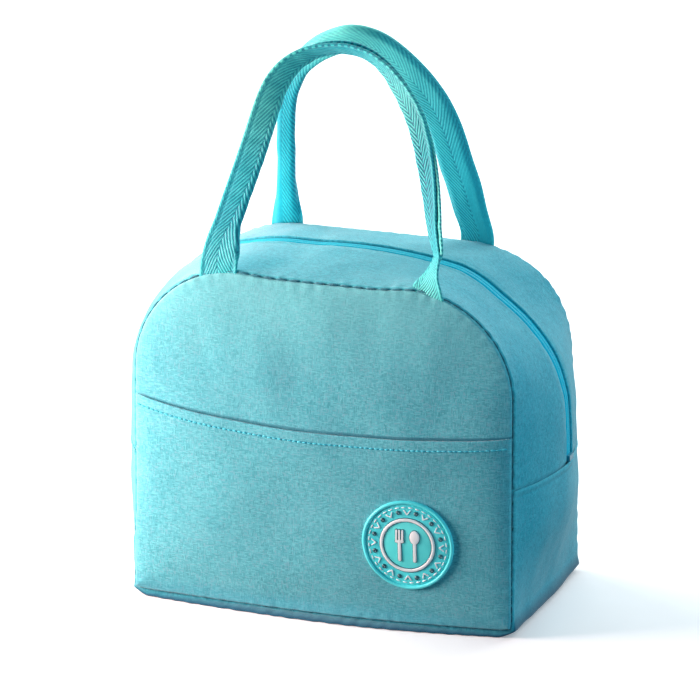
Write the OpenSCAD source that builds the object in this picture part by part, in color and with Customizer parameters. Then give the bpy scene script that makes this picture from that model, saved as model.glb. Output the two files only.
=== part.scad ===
// Insulated fabric lunch bag with an arched front, a front slip pocket,
// a zip running over the arch, two webbing handles and a round rubber badge.
// Millimetres, +Z up, the front faces -Y, origin at the centre of the base.

/* [Bag body] */
// Width of the front and back panels, seam to seam
body_w = 220; // [160:1:300]
// Depth of the base, front seam to back seam
body_d = 120; // [80:1:180]
// Height of the bottom seam above the table
seam_z0 = 4; // [2:0.5:8]
// Height of the top of the front seam
seam_z1 = 195; // [150:1:260]
// Radius of the two upper corners of the panels
arch_r = 60; // [30:1:90]
// Radius of the two lower corners of the panels
foot_r = 8; // [7:0.5:20]
// How far the top of the back seam leans in towards the front
back_lean = 13; // [0:1:25]
// How much lower the top of the back seam is than the front one
back_drop = 4; // [0:0.5:8]
// Outward crown of the front and back panels
panel_crown = 8; // [2:0.5:16]
// Height at which the mouth of the bag starts to fold open
split_z = 121.5; // [100:0.5:140]
// Free gap left between the tub and the two folding upper halves
split_gap = 0.6; // [0.4:0.1:2]

/* [Layers] */
// Outer woven fabric thickness
fabric_t = 1.0; // [0.6:0.1:2]
// Insulation foam thickness
foam_t = 4.0; // [2:0.5:8]
// Silvery lining thickness
lining_t = 0.6; // [0.4:0.1:1.5]
// Clearance between neighbouring layers
layer_gap = 0.1; // [0.05:0.05:0.5]

/* [Front pocket] */
// Height of the pocket edge at the middle
pocket_mid_z = 113; // [70:1:118]
// Height of the pocket edge at the side seams
pocket_side_z = 119.5; // [70:0.5:120.5]
// Slack between the pocket and the panel behind it
pocket_slack = 6.5; // [5:0.1:12]
// Depth of the turned hem along the pocket edge
hem_h = 9; // [5:0.5:20]

/* [Zip] */
// Height of the lower ends of the zip gusset
zip_seam_z = 85; // [60:1:110]
// Half of the gap between the two folded fabric edges along the zip
zip_half_gap = 6; // [4:0.5:10]
// Half width of the zip tape
tape_half = 13; // [10:0.5:18]
// Radius of one coil of the zip
coil_r = 1.15; // [0.8:0.05:1.6]
// Height of the middle of the slider when the bag is closed
slider_z = 95; // [93:0.5:100]

/* [Handles] */
// Width of the webbing
web_w = 26; // [20:1:40]
// Thickness of the webbing
web_t = 1.6; // [1:0.1:2.5]
// Distance of each handle foot from the middle of the bag
foot_x = 60.5; // [40:0.5:80]
// Width of the flat sewn foot of a handle
foot_w = 22; // [18:0.5:30]

/* [Badge] */
// Diameter of the round rubber badge
badge_d = 52; // [30:1:70]
// Badge centre, distance to the right of the middle
badge_x = 54; // [0:1:70]
// Badge centre, height above the table
badge_z = 52; // [35:1:80]

/* [Hidden] */
$fn = 48;
HW = body_w/2;
HD = body_d/2;
ZA = seam_z1 - arch_r;            // height of the arch centres
XA = HW - arch_r;                 // distance of the arch centres from the middle
lean_z = 122;                     // the back seam leans in above this
d_fab0 = 0;                 d_fab1 = fabric_t;
d_foam0 = d_fab1+layer_gap; d_foam1 = d_foam0+foam_t;
d_lin0 = d_foam1+2.5*layer_gap; d_lin1 = d_lin0+lining_t;
d_tape0 = d_foam0;          d_tape1 = d_tape0+0.6;
d_bind0 = d_lin1+0.8;        // binding stands a little off the lining
e_foam = d_foam0+1.1;       e_lin = d_lin0+1.1;   // panel layers stop short of the gusset layers

function clamp(t) = min(1, max(0, t));
function sm(t) = let(c = clamp(t)) c*c*(3-2*c);
function lift(z) = clamp((z-lean_z)/(seam_z1-lean_z));
// y of the back seam and the zip line at a height
function back_y(z) = HD - back_lean*pow(lift(z), 1.3);
function mid_y(z) = (back_y(z)-HD)/2;
function half_depth(z) = (back_y(z)+HD)/2;

// half width of a panel at a height, inset by e from the seam
function half_w(z, e) =
    z > ZA ? XA + sqrt(max(0, pow(arch_r-e, 2) - pow(z-ZA, 2)))
  : z < seam_z0+foot_r ? HW-foot_r + sqrt(max(0, pow(foot_r-e, 2) - pow(seam_z0+foot_r-z, 2)))
  : HW-e;
// crown of a panel at u across and a height
function crown(u, z) =
    let(zm = (seam_z0+seam_z1)/2, w = (z-zm)/(seam_z1-zm))
    panel_crown*(1-pow(abs(u), 4))*(1-pow(min(1, abs(w)), 4));

// ---- closed solid from a grid of outer points and a grid of inner points
module shell(A, B) {
    n = len(A); m = len(A[0]);
    pts = concat([for (r = A) each r], [for (r = B) each r]);
    o = n*m;
    function a(i, j) = i*m+j;
    function b(i, j) = o+i*m+j;
    faces = concat(
        [for (i = [0:n-2]) for (j = [0:m-2]) each [[a(i,j), a(i+1,j), a(i+1,j+1)], [a(i,j), a(i+1,j+1), a(i,j+1)]]],
        [for (i = [0:n-2]) for (j = [0:m-2]) each [[b(i,j), b(i+1,j+1), b(i+1,j)], [b(i,j), b(i,j+1), b(i+1,j+1)]]],
        [for (i = [0:n-2]) each [[a(i,0), b(i,0), b(i+1,0)], [a(i,0), b(i+1,0), a(i+1,0)]]],
        [for (i = [0:n-2]) each [[a(i,m-1), b(i+1,m-1), b(i,m-1)], [a(i,m-1), a(i+1,m-1), b(i+1,m-1)]]],
        [for (j = [0:m-2]) each [[a(0,j), b(0,j+1), b(0,j)], [a(0,j), a(0,j+1), b(0,j+1)]]],
        [for (j = [0:m-2]) each [[a(n-1,j), b(n-1,j), b(n-1,j+1)], [a(n-1,j), b(n-1,j+1), a(n-1,j+1)]]]
    );
    polyhedron(points = pts, faces = faces, convexity = 8);
}

// ---- gusset surface: stations along the outline, [x, z, normal x, normal z, bulge, flatness]
arc_bulge = [[0, 10.5], [12, 6], [24, 2], [38, -0.8], [53, -2.4], [66, -1.2], [78, 0.6], [90, 2]];
function side_bulge(z) = 13.5*sm((z-seam_z0)/62) - 3*clamp((z-lean_z)/(ZA-lean_z));
function st_side(z) = [HW, z, 1, 0, side_bulge(z), 0];
function st_arc(p) = [XA+arch_r*cos(p), ZA+arch_r*sin(p), cos(p), sin(p), lookup(p, arc_bulge), 0];
function st_top(x) = [x, seam_z1, 0, 1, 2+4.5*(1-pow(x/XA, 2)), 0];
function st_foot(p) = [HW-foot_r+foot_r*cos(p), seam_z0+foot_r-foot_r*sin(p), cos(p), -sin(p),
                       4*p/90 + side_bulge(seam_z0+foot_r-foot_r*sin(p)), p/90];
function flip(s) = [-s[0], s[1], -s[2], s[3], s[4], s[5]];
function rev(l) = [for (i = [len(l)-1:-1:0]) l[i]];
// bulge across the depth: a soft crown on the sides, flat on the base
function across(v, k) = (1-k)*(1-v*v) + k*(1-pow(clamp((abs(v)-0.9)/0.1), 2));
function gpt(s, v, d) =
    let(y = mid_y(s[1]) + v*half_depth(s[1]),
        off = s[4]*across(v, s[5]) - d,
        dz = -back_drop*lift(s[1])*(1+v)/2)
    [s[0]+s[2]*off, y, s[1]+s[3]*off+dz];

up_a = [split_z+split_gap/2, 128, ZA];
arc_a = [12, 24, 38, 53, 66, 78, 90];
top_a = [34, 17, 0];
half_up = concat([for (z = up_a) st_side(z)], [for (p = arc_a) st_arc(p)], [for (x = top_a) st_top(x)]);
over_arch = concat(half_up, [for (i = [len(half_up)-2:-1:0]) flip(half_up[i])]);
side_low = [for (z = [zip_seam_z+0.3, 97, 109, split_z-split_gap/2]) st_side(z)];

// a strip of the gusset, from v0 to v1 across the depth, from d0 to d1 under its surface
module strip(S, V, d0, d1) {
    shell([for (s = S) [for (v = V) gpt(s, v, d0)]], [for (s = S) [for (v = V) gpt(s, v, d1)]]);
}
// the same with its edges at fixed distances from the zip line (ya) and the seam (eb),
// and a line of points over the edge of the zip tape
module zip_strip(S, side, ya, eb, d0, d1, n = 4) {
    function row(s, d) = let(h = half_depth(s[1]))
        [for (i = [-1:n-1]) let(y = i < 0 ? ya : tape_half + (h-eb-tape_half)*i/(n-1)) gpt(s, side*y/h, d)];
    if (side > 0)
        shell([for (s = S) row(s, d0)], [for (s = S) row(s, d1)]);
    else
        shell([for (s = S) rev(row(s, d0))], [for (s = S) rev(row(s, d1))]);
}
// both lower ends of a zip strip
module zip_strip_low(side, ya, eb, d0, d1, n = 4) {
    zip_strip(side_low, side, ya, eb, d0, d1, n);
    mirror([1, 0, 0]) zip_strip(side_low, side, ya, eb, d0, d1, n);
}

// ---- side and base band
low_side = concat([for (z = [zip_seam_z, 70, 52, 34, 20, seam_z0+foot_r]) st_side(z)],
                  [for (p = [22.5, 45, 67.5, 90]) st_foot(p)]);
// places across the depth, the same for each layer apart from the outermost
function vband(k) = let(h = concat([for (v = [0.3, 0.6, 0.85, 0.9, 0.92, 0.94, 0.97]) if (v < k-0.004) v], [k]))
    concat([for (i = [len(h)-1:-1:0]) -h[i]], [0], h);
module band(d0, d1, e) {
    k = (HD-e)/HD;
    V = vband(k);
    A = [for (s = low_side) [for (v = V) gpt(s, v, d0)]];
    B = [for (s = low_side) [for (v = V) gpt(s, v, d1)]];
    union() {
        shell(B, A);
        mirror([1, 0, 0]) shell(B, A);
        // flat base, from one bottom corner to the other
        s = low_side[len(low_side)-1];
        L = HW-foot_r;
        prof = concat([for (v = V) let(p = gpt(s, v, d0)) [p[1], p[2]]],
                      rev([for (v = V) let(p = gpt(s, v, d1)) [p[1], p[2]]]));
        translate([-L-0.01, 0, 0]) rotate([90, 0, 90]) linear_extrude(height = 2*L+0.02) polygon(prof);
    }
}

// ---- panels: rows in height, columns across
ucol = [-1, -0.96, -0.88, -0.72, -0.48, -0.24, 0, 0.24, 0.48, 0.72, 0.88, 0.96, 1];
function panel_pt(u, z, e, d, side) =
    let(x = u*half_w(z, e), c = crown(u, z))
    side < 0 ? [x, -HD-c+d, z] : [x, back_y(z)+c-d, z-back_drop*lift(z)];
function low_rows(e) = let(z0 = seam_z0+e, zc = seam_z0+foot_r, r = foot_r-e)
    concat([for (p = [90, 60, 30, 0]) zc-r*sin(p)], [26, 48, 72, 96, split_z-split_gap/2]);
function up_rows(e) = concat([split_z+split_gap/2, ZA], [for (p = [16, 32, 48, 62, 76, 90]) ZA+(arch_r-e)*sin(p)]);
module plate(R, e, d0, d1, side) {
    A = [for (z = R) [for (u = ucol) panel_pt(u, z, e, d0, side)]];
    B = [for (z = R) [for (u = ucol) panel_pt(u, z, e, d1, side)]];
    if (side < 0) shell(B, A); else shell(A, B);
}

// ---- front pocket
function pocket_top(x) = pocket_mid_z + (pocket_side_z-pocket_mid_z)*pow(abs(x)/HW, 2);
function slack(u, z) = layer_gap + pocket_slack*(1-pow(abs(u), 7))*sm((z-seam_z0-1)/12);
function pocket_pt(u, z, d) = let(x = u*half_w(z, 0)) [x, -HD-crown(u, z)-slack(u, z)-d, z];
pocket_w = [0, 0.012, 0.035, 0.07, 0.14, 0.3, 0.5, 0.72, 0.9, 1];
uhem = [for (u = ucol) if (abs(u) < 0.97) u];
module pocket_sheet(f0, f1, d0, d1, cols = ucol) {
    // f0 and f1 are drops from the pocket edge, or below 0 for the bottom seam
    rows = f0 < 0 ? pocket_w : [0, 0.5, 1];
    function zz(u, w) = let(t = pocket_top(u*HW), lo = f0 < 0 ? seam_z0 : t-f0, hi = t-f1) lo+(hi-lo)*w;
    A = [for (w = rows) [for (u = cols) pocket_pt(u, zz(u, w), d1)]];
    B = [for (w = rows) [for (u = cols) pocket_pt(u, zz(u, w), d0)]];
    shell(B, A);
}

// ---- webbing handles
// outline of each handle in its own leaning plane, [across, up from the feet]
front_loop = [[-60.5, 0], [-59.6, 12], [-56, 30], [-50.4, 52], [-44.6, 75], [-40.2, 90], [-35.6, 101], [-29, 111],
              [-20, 119], [-10, 123.6], [0, 125.3], [10.5, 123.6], [21, 118.3], [30, 110], [38.5, 99], [45.5, 87],
              [51.5, 72], [57.6, 50], [61, 31], [61.6, 12], [60.5, 0]];
back_loop = [[-58, 0], [-57, 12], [-55, 26], [-52.6, 45], [-50.2, 64], [-46.6, 84], [-41.6, 99], [-34, 112],
             [-24.5, 122], [-13, 129.3], [0, 132.5], [12, 129.6], [21.5, 122.2], [30.5, 111.6], [38.4, 98.5],
             [44.2, 84], [47.8, 66], [50, 50], [52, 33], [54, 15], [56, 0]];
front_axis = [-60.5, 198];
back_axis = [47.5, 194];
front_tilt = atan2(41.5, 125);
back_tilt = atan2(52.5, 133);

function cr(P, t) = let(n = len(P)-1, i = min(n-1, floor(t)), s = t-i,
    p1 = P[i], p2 = P[i+1], p0 = i > 0 ? P[i-1] : 2*p1-p2, p3 = i+2 <= n ? P[i+2] : 2*p2-p1)
    0.5*((2*p1) + (p2-p0)*s + (2*p0-5*p1+4*p2-p3)*s*s + (3*p1-p0-3*p2+p3)*s*s*s);
// fold of the webbing: 0 flat at the feet, 1 folded lengthwise in half
function fold_at(h) = sm((h-2)/26);
wcol = [-1, -0.67, -0.36, -0.24, -0.12, 0, 0.12, 0.24, 0.36, 0.67, 1];
bend_len = 0.36*web_w;
// point of the folded section, s across the webbing, q through its thickness
function sec(s, q, f) =
    f < 0.02 ? [s*foot_w/web_w, q]
  : let(kk = 201.6*f/bend_len, hl = bend_len/2, r = 180/(PI*kk),
        sg = sign(s), as = abs(s), th = kk*min(as, hl), ext = max(0, as-hl),
        wk = 1-(1-foot_w/web_w)*(1-f),
        c = [sg*(r*sin(th)+ext*cos(th))*wk, r*(1-cos(th))+ext*sin(th)],
        nn = [-sg*sin(th), cos(th)])
    c + q*nn;
module strap(P, axis, tilt, side) {
    n = len(P)-1;
    T = concat([0, 0.35, 0.7, 1, 1.35, 1.7], [for (i = [2:1:n-2]) i], [n-1.7, n-1.35, n-1, n-0.7, n-0.35, n]);
    function frame(t) = let(a = cr(P, max(0, t-0.05)), b = cr(P, min(n, t+0.05)), d = (b-a)/norm(b-a)) d;
    function place(t, s, q) =
        let(p = cr(P, t), d = frame(t), h = min(norm(p-P[0]), norm(p-P[n])), f = fold_at(h),
            out = [-d[1], d[0]],                       // in-plane, away from the opening
            c = sec(s, q, f),
            shift = -f*(web_w/4),                       // keeps the folded strap centred
            tw = 90*f,                                  // quarter turn between foot and grip
            // across axis turns from in-plane (flat foot) to the thickness direction (folded grip)
            e1 = [out[0]*cos(tw), out[1]*cos(tw), sin(tw)],
            e2 = [out[0]*sin(tw)*1, out[1]*sin(tw)*1, -cos(tw)],
            q3 = c[0]*e1 + (c[1]+shift)*e2,
            xh = [p[0]+q3[0], p[1]+q3[1]], w = q3[2])
        // lean the plane
        [xh[0], axis[0] - side*xh[1]*sin(tilt) + w*cos(tilt), axis[1] + xh[1]*cos(tilt) + side*w*sin(tilt)];
    A = [for (t = T) [for (c = wcol) place(t, c*web_w/2, web_t/2)]];
    B = [for (t = T) [for (c = wcol) place(t, c*web_w/2, -web_t/2)]];
    shell(A, B);
}
module foot_tabs(axis, xs, drop) {
    for (x = xs)
        translate([0, axis[0]+web_t/2, 0]) rotate([90, 0, 0]) linear_extrude(height = web_t)
            polygon(concat([[x-foot_w/2, axis[1]-2], [x+foot_w/2, axis[1]-2]],
                [for (k = [5:-1:0]) let(xx = x-foot_w/2+foot_w*k/5)
                    [xx, (abs(xx) > XA ? ZA+sqrt(arch_r*arch_r-pow(abs(xx)-XA, 2)) : seam_z1) - drop + 0.25]]));
}

// ---- zip slider frame: local x runs up the zip, local z points out of the bag
module on_left_zip(z) {
    translate([-(HW+side_bulge(z)), 0, z]) rotate([0, -90, 0]) children();
}

// ================= nodes =================
fab = [0.38, 0.72, 0.76];
fab2 = [0.27, 0.58, 0.64];
foam_c = [0.93, 0.93, 0.9];
lin_c = [0.8, 0.82, 0.84];
web_c = [0.16, 0.68, 0.72];
zip_c = [0.12, 0.72, 0.8];

module front_panel_lower() { color(fab) plate(low_rows(0), 0, d_fab0, d_fab1, -1); }
module front_panel_upper() { color(fab) plate(up_rows(0), 0, d_fab0, d_fab1, -1); }
module back_panel_lower() { color(fab) plate(low_rows(0), 0, d_fab0, d_fab1, 1); }
module back_panel_upper() { color(fab) plate(up_rows(0), 0, d_fab0, d_fab1, 1); }
module front_foam_lower() { color(foam_c) plate(low_rows(e_foam), e_foam, d_foam0, d_foam1, -1); }
module front_foam_upper() { color(foam_c) plate(up_rows(e_foam), e_foam, d_foam0, d_foam1, -1); }
module back_foam_lower() { color(foam_c) plate(low_rows(e_foam), e_foam, d_foam0, d_foam1, 1); }
module back_foam_upper() { color(foam_c) plate(up_rows(e_foam), e_foam, d_foam0, d_foam1, 1); }
module front_lining_lower() { color(lin_c) plate(low_rows(e_lin), e_lin, d_lin0, d_lin1, -1); }
module front_lining_upper() { color(lin_c) plate(up_rows(e_lin), e_lin, d_lin0, d_lin1, -1); }
module back_lining_lower() { color(lin_c) plate(low_rows(e_lin), e_lin, d_lin0, d_lin1, 1); }
module back_lining_upper() { color(lin_c) plate(up_rows(e_lin), e_lin, d_lin0, d_lin1, 1); }

module side_base_band() { color(fab2) band(d_fab0, d_fab1, d_fab1+layer_gap); }
module side_base_foam() { color(foam_c) band(d_foam0, d_foam1, d_foam1+layer_gap); }
module side_base_lining() { color(lin_c) band(d_lin0, d_lin1, d_lin1+layer_gap); }

module zip_gusset_front_lower() { color(fab) zip_strip_low(-1, zip_half_gap, d_fab1+2*layer_gap, d_fab0, d_fab1); }
module zip_gusset_back_lower() { color(fab) zip_strip_low(1, zip_half_gap, d_fab1+2*layer_gap, d_fab0, d_fab1); }
module zip_gusset_front_upper() { color(fab) zip_strip(over_arch, -1, zip_half_gap, d_fab1+2*layer_gap, d_fab0, d_fab1); }
module zip_gusset_back_upper() { color(fab) zip_strip(over_arch, 1, zip_half_gap, d_fab1+2*layer_gap, d_fab0, d_fab1); }
module gusset_foam_lower() {
    color(foam_c) {
        zip_strip_low(-1, 7, d_foam1+3*layer_gap, d_tape1+layer_gap, d_foam1, 3);
        zip_strip_low(1, 7, d_foam1+3*layer_gap, d_tape1+layer_gap, d_foam1, 3);
    }
}
module gusset_foam_front_upper() { color(foam_c) zip_strip(over_arch, -1, 7, d_foam1+3*layer_gap, d_tape1+layer_gap, d_foam1, 3); }
module gusset_foam_back_upper() { color(foam_c) zip_strip(over_arch, 1, 7, d_foam1+3*layer_gap, d_tape1+layer_gap, d_foam1, 3); }
module gusset_lining_lower() {
    color(lin_c) {
        zip_strip_low(-1, 7, d_lin1+layer_gap, d_lin0, d_lin1, 3);
        zip_strip_low(1, 7, d_lin1+layer_gap, d_lin0, d_lin1, 3);
    }
}
module gusset_lining_front_upper() { color(lin_c) zip_strip(over_arch, -1, 7, d_lin1+layer_gap, d_lin0, d_lin1, 3); }
module gusset_lining_back_upper() { color(lin_c) zip_strip(over_arch, 1, 7, d_lin1+layer_gap, d_lin0, d_lin1, 3); }

// zip tape lies just under the folded fabric edges
module tape_part(S, side) {
    function row(s, d) = let(h = half_depth(s[1])) [for (y = [0.7, 6, tape_half]) gpt(s, side*y/h, d)];
    if (side > 0) shell([for (s = S) row(s, d_tape0)], [for (s = S) row(s, d_tape1)]);
    else shell([for (s = S) rev(row(s, d_tape0))], [for (s = S) rev(row(s, d_tape1))]);
}
// the coil is a plump bead along the inner edge of each tape
module coil_part(S, side) {
    n = 8;
    R = [for (s = S) let(h = half_depth(s[1]), c = gpt(s, side*1.95/h, -0.1))
        [for (k = [0:n-1]) let(a = 360*k/n) [c[0]+s[2]*coil_r*cos(a), c[1]+coil_r*sin(a), c[2]+s[3]*coil_r*cos(a)]]];
    m = len(R);
    pts = [for (r = R) each r];
    polyhedron(points = pts, faces = concat(
        [for (i = [0:m-2]) for (k = [0:n-1]) let(k2 = (k+1)%n) each
            [[i*n+k, (i+1)*n+k, (i+1)*n+k2], [i*n+k, (i+1)*n+k2, i*n+k2]]],
        [[for (k = [0:n-1]) k]], [[for (k = [n-1:-1:0]) (m-1)*n+k]]), convexity = 8);
}
coil_low = [for (z = [zip_seam_z+4.5, 97, 109, split_z-split_gap/2]) st_side(z)];
module zip_tape_lower() {
    color(zip_c) for (m = [0, 1]) mirror([m, 0, 0]) { tape_part(side_low, -1); tape_part(side_low, 1); }
}
module zip_tape_front_upper() { color(zip_c) tape_part(over_arch, -1); }
module zip_tape_back_upper() { color(zip_c) tape_part(over_arch, 1); }
module zip_coil_lower() {
    color(zip_c) for (m = [0, 1]) mirror([m, 0, 0]) { coil_part(coil_low, -1); coil_part(coil_low, 1); }
}
module zip_coil_front_upper() { color(zip_c) coil_part(over_arch, -1); }
module zip_coil_back_upper() { color(zip_c) coil_part(over_arch, 1); }
// moulded stops that close off both ends of the zip
module zip_end_stops() {
    color([0.2, 0.6, 0.66]) for (m = [0, 1]) mirror([m, 0, 0]) on_left_zip(zip_seam_z+2.4)
        translate([-1.6, -3.4, -0.95]) cube([3.2, 6.8, 2.2]);
}
// slider: two plates round the coils, joined by a thin post, with a bridge for the pull
module zip_slider() {
    color([0.62, 0.66, 0.68]) on_left_zip(slider_z) {
        difference() {
            union() {
                // outer plate with rounded nose
                translate([0, 0, 1.55]) linear_extrude(height = 1.1) union() {
                    translate([-5.5, -4.4]) square([8.2, 8.8]);
                    translate([2.7, 0]) circle(r = 4.4);
                }
                // side flanges
                for (s = [-1, 1]) translate([-5.5, s*4.0-0.4, -0.55]) cube([8.2, 0.8, 2.2]);
                // inner plate under the tapes
                translate([-5.5, -4.2, -3.2]) cube([11, 8.4, 1]);
                // post between the two coils
                translate([1.5, -0.32, -2.5]) cube([4.0, 0.64, 4.4]);
                // bridge over the outer plate
                for (x = [-4.3, 2.4]) translate([x, -0.9, 2.6]) cube([1.3, 1.8, 2.0]);
                translate([-4.3, -0.9, 4.4]) cube([8.0, 1.8, 0.9]);
            }
        }
    }
}
// pull tab: a pin through the bridge, two arms round it and a flat tab hanging below
module zip_pull() {
    color([0.66, 0.7, 0.72]) on_left_zip(slider_z) translate([-2, 0, 3.5]) {
        rotate([90, 0, 0]) cylinder(h = 5.8, r = 0.6, center = true);
        for (s = [-1, 1]) translate([-5.6, s > 0 ? 1.4 : -2.9, -0.35]) cube([5.6, 1.5, 0.7]);
        difference() {
            union() {
                translate([-24, -2.9, -0.6]) cube([20.6, 5.8, 1.2]);
                translate([-24, 0, -0.6]) cylinder(h = 1.2, r = 2.9);
            }
            translate([-23.6, 0, -2]) cylinder(h = 4, r = 1.3);
            translate([-20.5, -1.5, 0.25]) cube([12, 3, 1]);
        }
    }
}

module front_pocket() { color(fab) pocket_sheet(-1, 0, 0, fabric_t); }
module pocket_hem() { color(fab2) pocket_sheet(hem_h, 0, -0.75, -0.05, uhem); }
module pocket_topstitch() { color(zip_c) pocket_sheet(6.1, 5.5, fabric_t+0.04, fabric_t+0.45); }
module seam_binding_lower() {
    color([0.25, 0.5, 0.55]) for (s = [-1, 1]) {
        k0 = (HD-13)/HD; k1 = (HD-7)/HD;
        S = [for (q = low_side) q];
        V = s > 0 ? [k0, (k0+k1)/2, k1] : [-k1, -(k0+k1)/2, -k0];
        B = [for (q = S) [for (v = V) gpt(q, v, d_bind0)]];
        A = [for (q = S) [for (v = V) gpt(q, v, d_bind0+1.1)]];
        shell(A, B);
        mirror([1, 0, 0]) shell(A, B);
    }
}
module seam_binding_front_upper() {
    function row(s, d) = let(h = half_depth(s[1])) [for (e = [7, 13]) gpt(s, -(h-e)/h, d)];
    color([0.25, 0.5, 0.55])
        shell([for (s = over_arch) row(s, d_bind0)], [for (s = over_arch) row(s, d_bind0+1.1)]);
}
module seam_binding_back_upper() {
    function row(s, d) = let(h = half_depth(s[1])) [for (e = [13, 7]) gpt(s, (h-e)/h, d)];
    color([0.25, 0.5, 0.55])
        shell([for (s = over_arch) row(s, d_bind0)], [for (s = over_arch) row(s, d_bind0+1.1)]);
}

module handle_front() { color(web_c) strap(front_loop, front_axis, front_tilt, -1); }
module handle_back() { color(web_c) strap(back_loop, back_axis, back_tilt, 1); }
module handle_front_tabs() { color(web_c) foot_tabs(front_axis, [-foot_x, foot_x], 0); }
module handle_back_tabs() { color(web_c) foot_tabs(back_axis, [-58, 56], back_drop); }

// ---- badge, turned square to the crowned pocket under it
badge_u = badge_x/HW;
badge_tz = -atan(panel_crown*4*pow(badge_u, 3)/HW);
badge_tx = atan(panel_crown*(1-pow(badge_u, 4))*4*pow((99.5-badge_z)/95.5, 3)/95.5);
badge_p = pocket_pt(badge_u, badge_z, fabric_t);
module on_badge() {
    translate([badge_p[0], badge_p[1]-0.1, badge_z]) rotate([0, 0, -badge_tz]) rotate([badge_tx, 0, 0]) rotate([90, 0, 0]) children();
}
module badge_base() {
    color([0.2, 0.75, 0.75]) on_badge() rotate_extrude($fn = 96)
        polygon([[0, 0], [badge_d/2-0.6, 0], [badge_d/2, 0.8], [badge_d/2, 2.0], [badge_d/2-0.8, 2.7], [badge_d/2-2.2, 2.7],
                 [badge_d/2-2.9, 2.0], [badge_d/2-2.9, 1.5], [0, 1.5]]);
}
module badge_ring() {
    color([0.95, 0.97, 0.97]) on_badge() rotate_extrude($fn = 96)
        polygon([[14, 1.52], [15.6, 1.52], [15.6, 2.2], [15.2, 2.5], [14.4, 2.5], [14, 2.2]]);
}
// raised fork and spoon in the middle of the badge
module badge_cutlery() {
    color([0.95, 0.97, 0.97]) on_badge() translate([0, 0, 1.52]) linear_extrude(height = 0.8) {
        translate([4, 4.6]) scale([0.72, 1]) circle(r = 3.6);
        translate([3.2, -9.5]) square([1.6, 12]);
        translate([-4.8, -9.5]) square([1.6, 12]);
        translate([-6.8, 1.8]) square([5.6, 2]);
        for (k = [0:2]) translate([-6.8+2.2*k, 3.6]) square([1.2, 4.6]);
    }
}
// small raised beads round the outer field of the badge
module badge_dots() {
    color([0.1, 0.2, 0.4]) on_badge() for (k = [0:11]) rotate([0, 0, 30*k+15])
        translate([19.3, 0, 1.52]) cylinder(h = 0.7, r = 1.3);
}
module badge_stitches() {
    color([0.85, 0.95, 0.95]) on_badge() for (k = [0:35]) rotate([0, 0, 10*k])
        translate([22.2, -0.9, 1.52]) cube([0.5, 1.8, 0.4]);
}

front_panel_lower();
front_panel_upper();
back_panel_lower();
back_panel_upper();
front_foam_lower();
front_foam_upper();
back_foam_lower();
back_foam_upper();
front_lining_lower();
front_lining_upper();
back_lining_lower();
back_lining_upper();
side_base_band();
side_base_foam();
side_base_lining();
zip_gusset_front_lower();
zip_gusset_back_lower();
zip_gusset_front_upper();
zip_gusset_back_upper();
gusset_foam_lower();
gusset_foam_front_upper();
gusset_foam_back_upper();
gusset_lining_lower();
gusset_lining_front_upper();
gusset_lining_back_upper();
zip_tape_lower();
zip_tape_front_upper();
zip_tape_back_upper();
zip_coil_lower();
zip_coil_front_upper();
zip_coil_back_upper();
zip_end_stops();
zip_slider();
zip_pull();
front_pocket();
pocket_hem();
pocket_topstitch();
seam_binding_lower();
seam_binding_front_upper();
seam_binding_back_upper();
handle_front();
handle_back();
handle_front_tabs();
handle_back_tabs();
badge_base();
badge_ring();
badge_cutlery();
badge_dots();
badge_stitches();
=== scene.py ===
import bpy, bmesh, math
import numpy as np
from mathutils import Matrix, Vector


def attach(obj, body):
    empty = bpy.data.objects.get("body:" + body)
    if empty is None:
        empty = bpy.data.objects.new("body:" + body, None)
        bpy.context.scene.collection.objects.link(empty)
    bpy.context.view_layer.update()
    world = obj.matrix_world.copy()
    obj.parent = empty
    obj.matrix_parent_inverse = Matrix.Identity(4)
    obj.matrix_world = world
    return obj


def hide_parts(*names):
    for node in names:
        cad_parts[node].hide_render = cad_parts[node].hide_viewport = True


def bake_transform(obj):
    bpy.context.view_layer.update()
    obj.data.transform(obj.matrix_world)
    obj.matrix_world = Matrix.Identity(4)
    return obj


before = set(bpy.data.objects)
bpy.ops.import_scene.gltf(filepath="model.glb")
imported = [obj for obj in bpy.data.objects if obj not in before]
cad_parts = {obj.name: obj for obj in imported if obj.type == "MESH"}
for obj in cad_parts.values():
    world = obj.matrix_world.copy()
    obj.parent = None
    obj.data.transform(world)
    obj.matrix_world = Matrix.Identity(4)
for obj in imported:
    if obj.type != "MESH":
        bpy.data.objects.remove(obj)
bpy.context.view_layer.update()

scene = bpy.context.scene
PI = math.pi

# ------------------------------------------------------------------ camera
AZ, EL = math.radians(18.866), math.radians(18.138)
TARGET = Vector((-0.004695, 0.0, 0.13585))
BACK = Vector((math.sin(AZ) * math.cos(EL), -math.cos(AZ) * math.cos(EL), math.sin(EL)))
cam_data = bpy.data.cameras.new("camera")
cam = bpy.data.objects.new("camera", cam_data)
scene.collection.objects.link(cam)
cam_data.sensor_width = 36.0
cam_data.lens = 36.0 * 8000.0 / 700.0
cam.location = TARGET + BACK * 4.4444
cam.rotation_mode = "QUATERNION"
cam.rotation_quaternion = (-BACK).to_track_quat("-Z", "Y")
cam_data.clip_start, cam_data.clip_end = 0.05, 60.0
scene.camera = cam

# ------------------------------------------------------------------ sizes, in millimetres as in the CAD
HW, HD, Z0, Z1, AR, FR = 110.0, 60.0, 4.0, 195.0, 60.0, 8.0
ZA, XA, ZL = Z1 - AR, HW - AR, 122.0
ZIP_Z = 85.0                                   # lower ends of the zip strips
T1 = XA                                        # distances along the outline from the top middle
T2 = T1 + AR * PI / 2
T3 = T2 + ZA - Z0 - FR
T4 = T3 + FR * PI / 2
T5 = T4 + HW - FR
T_ZIP = T2 + ZA - ZIP_Z


def clamp(a, lo=0.0, hi=1.0):
    return np.minimum(hi, np.maximum(lo, a))


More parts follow.
